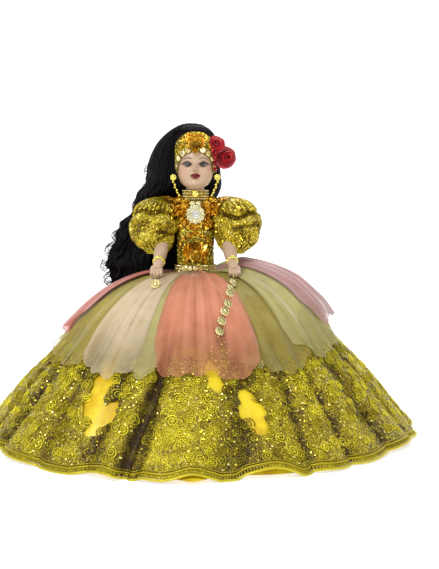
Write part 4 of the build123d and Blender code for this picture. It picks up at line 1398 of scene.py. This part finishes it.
# The face and the neck are closed below, and open above, where the wig covers them.
faces = capped_faces(FACE_ROWS, FACE_AROUND)[:2]
face = make("head_face", points.reshape(-1, 3), faces, FACE, "head", "porcelain_skin", **paint)
NECK_ROWS, NECK_AROUND = 24, 60
neck_rows = [(0.2993, 12.2), (0.303, 11.9), (0.310, 11.6), (0.317, 12.0), (0.323, 13.0)]
neck_rows = [
    circle(round_angles(NECK_AROUND), radius * MM, height) - vec(0, (height - 0.299) * 0.18, 0)
    for height, radius in smooth_line(neck_rows, NECK_ROWS)
]
faces = capped_faces(NECK_ROWS, NECK_AROUND)[:2]
neck = make("head_neck", np.concatenate(neck_rows), faces, SKIN, "head", "porcelain_skin")
for piece in (face, neck):
    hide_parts("head")


def lid_rim(sign, turn, lift=0.0):
    """Points on the rim of an eye's lids, at an angle round its opening."""
    u = np.cos(turn)
    v = np.sin(turn) / np.sqrt(1 + 0.7 * u * u)
    height = EYE_HEIGHT + EYE_SLANT * u + EYE_HALF_HEIGHT * v
    return face_point(sign * (EYE_X + EYE_HALF_WIDTH * u), height, lift)


eyes, lids, lashes = Cluster(), Cluster(), Cluster()
for sign in (-1, 1):
    flip = vec(sign, 1, 1)
    points, faces = ball(60, 60)
    points = points[:, [0, 2, 1]] * vec(1, -1, 1)
    from_pupil = np.arccos(np.clip(points @ (GAZE * flip), -1, 1)) * EYEBALL / IRIS_SCALE
    eyes.add(EYEBALL_AT * flip + points * EYEBALL, faces, np.clip(from_pupil, 0, 1))
    turns = round_angles(90)
    upper = np.sin(turns) > 0.0
    rim = tube(lid_rim(sign, turns, 0.05 * MM), np.where(upper, 0.42, 0.26) * MM, 6, True)
    lids.add(*rim, np.repeat(np.where(upper, 0.0, 0.55), 6))
    for turn in np.linspace(0.12, math.pi - 0.12, 26):
        u, root = math.cos(turn), lid_rim(sign, turn)
        out = vec(sign * u * 0.9 + 0.1 * sign, -0.9, 0.75)
        tip = root + unit(out) * (1.9 + 0.8 * (u > 0)) * MM + vec(0, 0, 0.5) * MM
        path = smooth_line([root, (root + tip) / 2 - vec(0, 0.25, 0.25) * MM, tip], 7)
        lashes.cord(path, np.linspace(0.13, 0.03, 7) * MM, 4, 0.0)
    for turn in np.linspace(math.pi + 0.4, TURN - 0.15, 12):
        u, root = math.cos(turn), lid_rim(sign, turn)
        tip = face_point(sign * (EYE_X + 5.6 * MM * u), root[2] - 1.3 * MM, 0.15 * MM)
        lashes.cord([root, tip], vec(0.1, 0.04) * MM, 4, 0.0)
eyes = eyes.piece("glass_eyes_irises", EYE, "head", "eye_glass")
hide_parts("glass_eyes")
lids.piece("eyelid_edges", LID, "head", "porcelain_skin")
lashes.piece("eyelashes", LID, "head", "black_hair")


# ---------------------------------------------------------------- the headband
BAND_TOP = 387 * MM


def band_edge(angle):
    """The height of the headband's lower edge: an oval round the face, with a small point over the nose."""
    x = skull_at.radii(0.345)[2] * np.cos(angle)
    oval = 334 * MM + 27 * MM * np.sqrt(np.clip(1 - (x / (22.6 * MM)) ** 2, 0, 1))
    return np.maximum(oval, 331 * MM) - 1.5 * MM * bell(x, 0, 3 * MM)


def band_tuck(angle):
    """How far the ends of the headband sink in under the wig."""
    return 1.9 * MM * ease(1.0, 1.3, np.abs(angle - FRONT))


def band_at(angle, height, x, y, lift):
    """Points on the outside of the headband."""
    return skull_at(angle, height, x, y, lift + 2.5 * MM - band_tuck(angle))


BAND_ROWS, BAND_COLUMNS = 70, 200
band_angles = FRONT + np.linspace(-1.38, 1.38, BAND_COLUMNS)
up, angle = np.meshgrid(np.linspace(0, 1, BAND_ROWS), band_angles, indexing="ij")
edge = band_edge(angle)
height = edge + (BAND_TOP - edge) * up
rolled_edge = 0.7 * MM * bell(up, 0.0, 0.04) + 0.25 * MM * np.sin(60 * angle) * np.sin(400 * height)
outer = skull_at(angle, height, lift=2.3 * MM + rolled_edge - band_tuck(angle))
inner = skull_at(angle, height, lift=0.3 * MM)
# Two layers, joined round their rim by a wall.
sheet_faces, layer = grid_faces(BAND_ROWS, BAND_COLUMNS), BAND_ROWS * BAND_COLUMNS
numbers = np.arange(layer).reshape(BAND_ROWS, BAND_COLUMNS)
rim_loop = np.concatenate([numbers[0], numbers[1:, -1], numbers[-1, -2::-1], numbers[-2:0:-1, 0]])
next_loop = np.roll(rim_loop, -1)
wall = np.stack([next_loop, rim_loop, rim_loop + layer, next_loop + layer], axis=1)
points = np.concatenate([outer.reshape(-1, 3), inner.reshape(-1, 3)])
faces = [sheet_faces, sheet_faces[:, ::-1] + layer, wall]
headband = make("headband_lace", points, faces, TRIM, "head", "gold_lace")
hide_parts("headband")

BAND_SEQUINS = 900
band_gold, band_amber, band_coins = Cluster(), Cluster(), Cluster()
spots = FRONT + random.uniform(-1.36, 1.36, BAND_SEQUINS)
up = random.random(BAND_SEQUINS) ** 0.9
levels = band_edge(spots) + up * (BAND_TOP - 1 * MM - band_edge(spots))
turns, sizes = random.uniform(0, 6, BAND_SEQUINS), random.uniform(0.8, 1.35, BAND_SEQUINS) * MM
band_gold.drape(cupped_disc(6, 0.6), band_at, spots, levels, turns, sizes, random.random(BAND_SEQUINS))
for radius, leaves, lift in ((11.5, 13, 0.5), (8.0, 10, 1.5), (4.6, 7, 2.4)):
    sequin_flower(band_amber, band_at, FRONT, 0.3745, radius, leaves, lift, 0.3 * leaves)
sequin_flower(band_amber, band_at, FRONT, 0.3632, 4.2, 7, 1.4, 0.4)
# Small flowers beside it, as (angle from the front, height, radius in millimetres).
BAND_FLOWERS = ((0.34, 0.3815, 4.4), (0.52, 0.376, 4.2), (0.62, 0.367, 3.6), (0.26, 0.3665, 3.6))
for side in (-1, 1):
    for offset, height, radius in BAND_FLOWERS:
        sequin_flower(band_amber, band_at, FRONT + side * offset, height, radius, 6, 0.8, offset * 9)
coin_angles = FRONT + np.array([-1.22, -1.06, -0.84, -0.60, -0.33, 0.33, 0.60, 0.84, 1.06, 1.22])
coin_heights = band_edge(coin_angles) + 3.2 * MM
coin_heights[[0, -1]] = 341 * MM
coin_tints = random.uniform(0.4, 1, len(coin_angles))
disc, boss = (button(18, 0.22, 0.86), 0.9, 3.5, coin_tints), (gem(8, 0.7), 1.5, 0.9, 0.1)
for shape, lift, size, tints in (disc, boss):
    band_coins.drape(shape, lifted(band_at, lift * MM), coin_angles, coin_heights, 0.0, size * MM, tints)
sequin_flower(band_amber, band_at, FRONT, 0.3600, 3.0, 6, 1.8, 0.1)
band_trim = [
    band_gold.piece("headband_gold_sequins", SEQUIN, "head", "gold_sequin", smooth=False),
    band_amber.piece("headband_amber_flower", AMBER, "head", "gold_sequin", smooth=False),
]
coins = band_coins.piece("headband_coins_struck", COIN, "head", "gold_coin", smooth=False)
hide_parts("headband_coins")


# ---------------------------------------------------------------- the roses
ROSE_PETALS = 26


def rose(name, centre, facing, radius, node):
    """A silk rose: cupped petals in a spiral, wider and more open outwards."""
    facing = unit(vec(*facing))
    x_way = unit(np.cross(vec(0, 0, 1), facing))
    y_way = np.cross(facing, x_way)
    v, u = np.meshgrid(np.linspace(0, 1, 12), np.linspace(-1, 1, 18), indexing="ij")
    flower = Cluster()
    for i in range(ROSE_PETALS):
        grown = (i + 1) / ROSE_PETALS
        ring = radius * (0.10 + 0.80 * grown**0.85)
        width = 2.2 - 0.9 * grown
        height = radius * (0.95 - 0.62 * grown**1.5)
        turn = i * 2.4 + width * u + 0.10 * np.sin(5 * u + i)
        lip = ease(0.72, 1.0, v) * (0.16 + 0.20 * grown)
        r = ring * (0.55 + 0.45 * np.sin(v * math.pi / 2) + lip) + 0.03 * radius * np.sin(7 * u + 2 * i) * v
        up = height * v * (1 - 0.22 * u * u) - radius * 0.10 * lip * 3 - 0.35 * radius * grown
        points = centre + circle(turn, r, up) @ np.array([x_way, y_way, facing])
        flower.add(points, grid_faces(*v.shape), random.uniform(0.2, 0.9))
    # The heart of the rose is filled with a ball of the darkest red, as painted shade.
    flower.stamp(ball(8, 12), centre - facing * 0.35 * radius, (x_way, y_way, facing), 0.55 * radius, 0.0)
    made = flower.piece(name, ROSE, "head", "red_rose")
    thick = made.modifiers.new("silk", "SOLIDIFY")
    thick.thickness, thick.offset = 0.35 * MM, 0
    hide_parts(node)


rose("rose_large_petals", vec(39.5, -9, 354) * MM, (0.35, -0.93, 0.05), 12.3 * MM, "rose_large")
rose("rose_small_petals", vec(25.5, -20, 370) * MM, (0.05, -0.90, 0.40), 11.0 * MM, "rose_small")
strand = Cluster()
strand_path = vec([25, -27, 366], [25.8, -24.6, 355], [26.2, -20.6, 345], [26.6, -16.6, 336]) * MM
for place in smooth_line(strand_path, 46):
    offset = random.normal(0, 1.0, 3) * MM
    way = unit(vec(0.5, -0.8, 0.0) + random.normal(0, 0.4, 3))
    side_way = unit(np.cross(way, vec(0, 0, 1)))
    axes, size = (side_way, np.cross(way, side_way), way), random.uniform(3.2, 4.8) * MM
    strand.stamp(leaf(5, 0.5, 0.3), place + offset, axes, size, random.random())
strand.piece("rose_strand", ROSE, "head", "red_rose")


# ---------------------------------------------------------------- earrings, choker and pendant
def facing_circle(angle, radius, lift):
    """Points on a circle that faces the front, in metres, from a radius and a lift in millimetres."""
    return circle(angle, radius, lift) @ np.array(FORWARD) * MM


def frontwards(distance):
    """A step towards the front, in millimetres."""
    return vec(0, -distance, 0) * MM


def pin(cluster, shape, place, lift, size, tint):
    """Adds a shape that faces the front, just before a place; lift and size are in millimetres."""
    cluster.stamp(shape, place + frontwards(lift), FORWARD, size * MM, tint)


jewels = Cluster()
for sign in (-1, 1):
    stud = vec(sign * 28.3, -14.2, 328.5) * MM
    pin(jewels, daisy(7, 0.45), stud, 0, 4.4, 0.7)
    pin(jewels, gem(7, 0.8), stud, 1.6, 1.7, 1.0)
    jewels.stamp(ball(5, 7), stud + facing_circle(round_angles(7), 3.1, 1.3), XYZ, 1.15 * MM, 0.9)
    swing = stud + vec(-sign * 7.2, -1.0, -23) * MM
    middle = (stud + swing) / 2 - vec(-sign * 1.2, 0, 1.0) * MM
    drop = smooth_line([stud - vec(0, 0, 4) * MM, middle, swing], 12)
    drop[:, 0] += 0.75 * MM * np.sin(1.7 * np.arange(12)) * sign
    for i, place in enumerate(drop):
        size, tint = ((0.8, 0.0), (1.55, 0.75))[i % 2]
        jewels.stamp(ball(6, 8), place, XYZ, size * MM, tint)
    jewels.cord(drop, 0.3 * MM, 5, 0.1)
earrings = jewels.piece("earrings_beads", BEAD, "head", "yellow_bead")
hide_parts("earrings")

turns = round_angles(160)
band = [(13.3, 299.8), (15.9, 300.2), (16.3, 303), (16.5, 306), (16.3, 309.5), (15.8, 312.2), (13.3, 312.6)]
band = smooth_line(band, 30) * MM
rows = [circle(turns, radius * (1 + 0.012 * np.sin(30 * turns)), height) for radius, height in band]
faces = grid_faces(len(band), len(turns), True, True)
choker = make("choker_lace", np.concatenate(rows), faces, TRIM, "doll", "gold_lace")
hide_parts("choker")
beads = Cluster()
for height in (300.8, 304.2, 308.0, 311.6):
    ring = circle(round_angles(46, height), 16.6, height) * MM
    beads.stamp(ball(5, 7), ring, XYZ, random.uniform(0.75, 1.15, 46) * MM, random.random(46))
choker_beads = beads.piece("choker_beads", COIN, "doll", "yellow_bead")
rosette = Cluster()
middle = vec(0, -17.0, 307.2) * MM
pin(rosette, daisy(8, 0.3), middle, 0, 4.7, 0.6)
pin(rosette, daisy(7, 0.4), middle, 1.2, 3.2, 0.9)
pin(rosette, gem(8, 0.8), middle, 2.1, 1.5, 1.0)
rosette = rosette.piece("choker_rosette_beads", BEAD, "doll", "yellow_bead")
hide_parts("choker_rosette")

PENDANT = vec(0, -21.5, 281) * MM
gilt, clear = Cluster(), Cluster()
plate_rows = [(11.2, 0), (11.4, 0.8), (8.5, 1.4), (5.2, 1.7)]
turns = round_angles(96)
rows = [facing_circle(turns, radius * (1 + 0.05 * np.cos(12 * turns)), lift) for radius, lift in plate_rows]
faces = [group[:, ::-1] for group in capped_faces(len(rows), len(turns))]
gilt.add(PENDANT + np.concatenate(rows), faces, 0.2)
for spot in PENDANT + facing_circle(round_angles(12), 9.6, 1.0):
    pin(gilt, daisy(6, 0.3), spot, 0, 3.0, random.uniform(0.6, 1.0))
    pin(clear, gem(7, 0.8), spot, 0.9, 1.1, 0.7)
# Rings of stones on buttons, as (radius, how many, lift, size of a stone).
STONE_RINGS = ((6.0, 16, 1.9, 1.05), (4.0, 11, 2.4, 1.05), (2.1, 6, 2.8, 1.0), (0.0, 1, 3.1, 1.2))
for radius, count, lift, size in STONE_RINGS:
    spots = PENDANT + facing_circle(round_angles(count), radius, lift)
    pin(clear, gem(7, 0.9), spots, 0, size, random.uniform(0.4, 1, count))
    pin(gilt, button(8, 0.3), spots, -0.4, size * 1.25, 0.5)
for sign in (-1, 1):
    spot = vec(sign * 3.7, -19.4, 294.8) * MM
    pin(gilt, daisy(7, 0.3), spot, 0, 3.7, 0.8)
    pin(gilt, daisy(6, 0.4), spot, 0.9, 2.2, 1.0)
    pin(clear, gem(7, 0.9), spot, 1.6, 1.0, 0.8)
pendant = gilt.piece("pendant_petals", DAISY, "doll", "pale_gilt")
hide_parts("pendant")
clear.piece("pendant_stones", CRYSTAL, "doll", "eye_glass", smooth=False)


# ---------------------------------------------------------------- the wig
WIG = [
    (150, -66, 58, 30, 9),
    (180, -66, 54, 46, 15),
    (215, -64, 50, 51, 16),
    (250, -54, 47, 50, 15),
    (290, -31, 43, 50, 15),
    (316, -18, 22, 49, 26),
    (338, -15.5, 10, 45.5, 37),
    (357, -13.5, 8, 42, 38.5),
    (374, -9.5, 6, 36.5, 36.5),
    (388, -6, 5, 25.5, 27.5),
    (398, -5, 5, 9, 10),
]
wig_sections = Sections(WIG)


def wig_at(angle, height, lift):
    """Points on the wig, whose free side falls in waves."""
    free = ease(-0.1, -0.8, np.cos(angle)) * ease(0.350, 0.325, height)
    waves = 2.6 * np.sin(TURN * height / 0.043 + 1.0) + 1.3 * np.sin(TURN * height / 0.019)
    return wig_sections(angle, height, lift=lift + waves * free * MM)


HAIRLINE_Y = -6.5 * MM


def lock(cluster, angle, top, bottom, radius, curl, pitch, start=0.55, out=0.0):
    """A lock that follows the wig down, smooth at first, and curls more and more towards its tip."""
    count = int(24 + 14 * (top - bottom) / pitch)
    height = np.linspace(top, bottom, count)
    down = (0.398 - height) / (0.398 - 0.15)
    helix = curl * MM * ease(start - 0.3, start + 0.25, down)
    turn = TURN * height / pitch + random.uniform(0, TURN)
    sway = angle + random.normal(0, 0.10) * down**2
    path = wig_at(sway, height, lift=helix * np.cos(turn) + out * MM * ease(0, 0.3, down))
    aside = helix * np.sin(turn)
    path += np.stack([-aside * np.sin(sway), aside * np.cos(sway), 0.5 * helix * np.cos(turn + 1.2)], axis=1)
    beside_face = (path[:, 2] < 0.387) & (path[:, 2] > 0.305)
    path[:, 1] = np.where(beside_face, np.maximum(path[:, 1], HAIRLINE_Y - 2 * MM), path[:, 1])
    taper = np.sin(math.pi * np.clip(np.linspace(0.12, 1.02, count), 0, 0.97)) ** 0.6
    cluster.cord(path, radius * MM * taper, 6, random.random())


WIG_LOW, WIG_HIGH, WIG_ROWS, WIG_AROUND = 0.172, 0.3982, 200, 200
angle, height = ring_grid(WIG_LOW, WIG_HIGH, WIG_ROWS, WIG_AROUND)
ridges = np.sin(34 * angle + 5 * np.sin(3 * angle) + 25 * height) + 0.5 * np.sin(71 * angle + 40 * height)
waves = 1.8 * np.sin(TURN * height / 0.036 + 2 * np.sin(2 * angle)) * ease(0.36, 0.30, height)
points = wig_at(angle, height, lift=(ridges + waves - 1.8) * MM)
in_front = (points[..., 1] < HAIRLINE_Y) & (points[..., 2] > 0.3) & (points[..., 2] < 0.3875)
points[..., 1] = np.where(in_front, HAIRLINE_Y, points[..., 1])
faces = capped_faces(WIG_ROWS, WIG_AROUND)
wigs = [make("wig_mass", points.reshape(-1, 3), faces, HAIR, None, "black_hair")]

# Locks over the back and the sides, looser and more curled in front of the shoulder and at the ends.
back_locks, side_locks, flyaways = Cluster(), Cluster(), Cluster()
for angle in round_angles(84, -math.pi):
    if abs(wrap(angle - FRONT)) > 0.75:
        top, bottom = 0.3965 - random.uniform(0, 0.004), random.uniform(0.150, 0.196)
        form = random.uniform(2.1, 3.1), random.uniform(1.6, 3.6), random.uniform(0.022, 0.036)
        lock(back_locks, angle + random.normal(0, 0.03), top, bottom, *form)
for angle in np.linspace(-math.pi, -1.9, 17):
    top, bottom = random.uniform(0.372, 0.39), random.uniform(0.17, 0.24)
    radius, curl = random.uniform(1.4, 2.2), random.uniform(2.5, 4.0)
    lock(side_locks, angle, top, bottom, radius, curl, 0.030, 0.45, 1.0)
for angle in np.linspace(-3.0, 3.1, 40):
    if abs(wrap(angle - FRONT)) > 0.8:
        bottom, radius = random.uniform(0.16, 0.3), random.uniform(0.4, 0.7)
        lock(flyaways, angle, 0.396, bottom, radius, 1.6, 0.034, 0.5, 0.5)


def ring_curl(angle, height, radius, windings, drop):
    """A loose curl that stands off the wig."""
    t = np.linspace(0, 1, int(26 * windings))
    centre = wig_at(angle, height, lift=(0.7 * radius + 0.5) * MM) - np.outer(t, vec(0, 0, drop * MM))
    swell = radius * MM * np.sin(math.pi * (0.15 + 0.8 * t)) ** 0.5
    turn = TURN * windings * t
    out, up = vec(math.cos(angle), math.sin(angle), 0), vec(0, 0, 1)
    path = centre + out * (swell * np.cos(turn))[:, None] + up * (swell * np.sin(turn))[:, None]
    path = path + np.cross(out, up) * np.linspace(-2, 2, len(t))[:, None] * MM
    flyaways.cord(path, 0.42 * MM, 6, random.random())


# Curls down the free side, as (height, radius, turns, how far the curl drops), all but the first in
# millimetres or turns.
CURLS = [
    (0.339, 3.6, 1.6, 5),
    (0.318, 3.2, 1.5, 3),
    (0.296, 3.8, 2.0, 5),
    (0.268, 3.4, 1.7, 6),
    (0.254, 5.0, 2.4, 6),
    (0.236, 7.4, 2.1, 5),
    (0.214, 6.0, 1.7, 7),
    (0.195, 6.6, 2.3, 5),
    (0.176, 5.2, 1.7, 6),
]
for height, *form in CURLS:
    for offset in (0.0, 0.22, -0.25):
        angle = math.pi + offset + random.normal(0, 0.05)
        ring_curl(angle, height + 12 * offset * MM, *form)
hanging = {"wig_back_locks": back_locks, "wig_side_locks": side_locks, "wig_loose_curls": flyaways}
wigs += [locks.piece(name, HAIR, slot="black_hair") for name, locks in hanging.items()]

# The hair over the brow, combed back over the top of the headband.
brow_hair = Cluster()
for t in np.linspace(-1.25, 1.25, 60):
    start = skull_at(FRONT + t, 386.6 * MM - 16 * MM * abs(t / 1.25) ** 3, lift=2.6 * MM)
    crown = wig_at(FRONT + 1.25 * t, 0.3935, lift=-1.0 * MM) * vec(1, 0.2, 1)
    middle = (start + crown) / 2 + vec(0, -2.0, 2.6) * MM
    path = smooth_line([start, middle, crown, crown + vec(0, 12, 1.5) * MM], 16)
    brow_hair.cord(path, random.uniform(1.3, 1.9) * MM, 6, 0.5)
brow_hair.piece("wig_brow_hair", HAIR, "head", "black_hair")
for piece in wigs:
    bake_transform(piece)
    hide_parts("wig_cap", "hair_length")


# ---------------------------------------------------------------- the stuffed body and limbs
rows = []
TORSO_LOW, TORSO_HIGH, TORSO_ROWS, TORSO_AROUND = 0.1735, 0.2612, 40, 60
for height in np.linspace(TORSO_LOW, TORSO_HIGH, TORSO_ROWS):
    squeeze = 0.4 + 0.6 * math.sqrt(min(1, (height - 0.1725) / 0.008)) if height < 0.1805 else 1.0
    turns = round_angles(TORSO_AROUND)
    _, _, radius_x, radius_y = torso_at.radii(max(height, 0.1822))
    pucker = 1 - 0.03 * np.abs(np.sin(9 * turns)) * ease(0.19, TORSO_LOW, height)
    seam = 1 - 0.02 * (bell(wrap(turns), 0, 0.09) + bell(wrap(turns - math.pi), 0, 0.09))
    ring = circle(turns, squeeze * pucker * seam * 0.985) * vec(radius_x, radius_y, 0)
    rows.append(ring + vec(0, 0, height))
faces = capped_faces(TORSO_ROWS, TORSO_AROUND)
torso = make("torso_stuffed", np.concatenate(rows), faces, COTTON, "doll", "body_cloth")
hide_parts("torso")


def stuffed_limb(node, body, path, radii):
    """A stuffed cotton limb."""
    made = fused(node + "_stuffed", [limb(path, radii)], 1.0 * MM, COTTON, body, "body_cloth", 3)
    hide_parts(node)


for side, sign in SIDES.items():
    flip = vec(sign, 1, 1)
    path = np.array([vec(27, 0, 288) * MM, vec(36, -2, 283) * MM, ELBOW + (ELBOW - WRIST) * 0.12])
    stuffed_limb(f"upper_arm_{side}", f"arm_{side}", path * flip, vec(7.6, 8.4, 7.4) * MM)
    low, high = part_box(f"thigh_{side}")
    middle_x, middle_y = (low[0] + high[0]) / 2, (low[1] + high[1]) / 2
    wide = (high[0] - low[0]) / 2
    heights = np.linspace(high[2] - 0.8 * wide, low[2] + 0.7 * wide, 4)
    path = [vec(middle_x, middle_y, height) for height in heights]
    stuffed_limb(f"thigh_{side}", f"leg_{side}", path, wide * vec(0.93, 0.97, 0.9, 0.8))


# ---------------------------------------------------------------- the petticoat
def net_point(angle, share):
    """Stiff net under the satin, gathered into fine flutes."""
    flutes = 0.7 * MM * np.sin(70 * angle + 2 * np.sin(5 * angle)) * ease(0.05, 0.5, share)
    return skirt_point(angle, share, 0.8 * lace_lift(angle, share) - 5.0 * MM + flutes)


points, faces, _, _ = ring_cloth(net_point, around=620, down=60, first=0.03, last=0.955)
petticoat = make("petticoat_net", points, faces, NET, "doll", "white_net")
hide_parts("petticoat")


# ---------------------------------------------------------------- the CAD pieces that stay
def repaint(material, *nodes):
    """Gives CAD pieces a material of this script's."""
    for node in nodes:
        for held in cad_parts[node].material_slots:
            held.material = material


ENAMEL = plain_finish("white_enamel", (0.80, 0.80, 0.78), (0.72, 0.71, 0.68), 0.3, grain=120, Coat_Weight=0.4)
DRAWN = {"grain": 500, "stretch": (1, 1, 0.1)}
STEEL = plain_finish("drawn_steel", (0.56, 0.56, 0.55), (0.40, 0.40, 0.40), 0.3, 1.0, **DRAWN)
TURNED = {"grain": 90, "depth": 0.2, "stretch": (4, 4, 1)}
WOOD = plain_finish("turned_wood", (0.50, 0.32, 0.16), (0.34, 0.20, 0.09), 0.6, **TURNED)
CARD = plain_finish("pressed_card", (0.52, 0.38, 0.24), (0.40, 0.28, 0.16), 0.9, grain=350, depth=0.3)
BISQUE = plain_finish(
    "bare_porcelain", (0.68, 0.48, 0.34), (0.62, 0.42, 0.29), 0.36, grain=40, Coat_Weight=0.25
)
LEATHER = plain_finish(
    "gold_leather", (0.70, 0.50, 0.12), (0.50, 0.33, 0.06), 0.42, 0.4, grain=260, depth=0.25
)
repaint(ENAMEL, "stand_base", "stand_post")
repaint(STEEL, "stand_screw", "stand_rod", "waist_clip", "hoop_wires", "neck_bolt", "neck_spring")
repaint(WOOD, "neck_button")
repaint(CARD, "crown_cover")
repaint(BISQUE, "shoulder_plate", "lower_leg_left", "lower_leg_right")
repaint(LEATHER, "shoe_left", "shoe_right")


# ---------------------------------------------------------------- the floor, the lights and the camera
PHOTO_HEIGHT, CAMERA_DISTANCE = 0.297, 1.35
CAMERA_LENS, CAMERA_DOWN, CAMERA_ACROSS = 65.5, 4.56, 1.33


def light(name, place, target, size, power):
    """A soft square light aimed at a point."""
    data = bpy.data.lights.new(name, "AREA")
    data.size, data.energy = size, power
    made = bpy.data.objects.new(name, data)
    made.location = place
    made.rotation_euler = Vector(vec(*target) - vec(*place)).to_track_quat("-Z", "Y").to_euler()
    bpy.context.scene.collection.objects.link(made)


light("key", (-0.8, -1.5, 1.5), (0, 0, 0.15), 0.6, 25)
light("fill", (1.5, -1.2, 0.8), (0, 0, 0.15), 1.2, 6)
light("top", (0.1, 0.6, 1.6), (0, 0, 0.1), 0.9, 9)

world = bpy.data.worlds.new("studio")
world.use_nodes = True
world.node_tree.nodes["Background"].inputs["Color"].default_value = (1, 1, 1, 1)
world.node_tree.nodes["Background"].inputs["Strength"].default_value = 0.42
bpy.context.scene.world = world

# A white sweep: a floor that curves up into a wall behind the doll.
sweep = Finish("white_sweep", Roughness=0.9, Emission_Color=(1, 1, 1, 1), Emission_Strength=0.5)
sweep.set("Base Color", sweep.ramp(sweep.noise(3), (0.3, (0.88, 0.88, 0.88)), (0.7, (0.90, 0.90, 0.90))))
bend = np.linspace(0, math.pi / 2, 24)
profile = [(-16.0, 0.0), (1.6, 0.0)]
profile += [(1.6 + math.sin(b), 1 - math.cos(b)) for b in bend[1:]] + [(2.6, 4.0)]
points = [(x, y, z) for y, z in profile for x in (-16.0, 16.0)]
floor = make("white_sweep", points, grid_faces(len(profile), 2), sweep.material)

camera_data = bpy.data.cameras.new("camera")
camera_data.lens, camera_data.sensor_width = CAMERA_LENS, 36
camera = bpy.data.objects.new("camera", camera_data)
camera.location = (0, -CAMERA_DISTANCE, PHOTO_HEIGHT)
camera.rotation_euler = (math.radians(90 - CAMERA_DOWN), 0, math.radians(-CAMERA_ACROSS))
bpy.context.scene.collection.objects.link(camera)
bpy.context.scene.camera = camera
bpy.context.scene.view_settings.view_transform = "Standard"
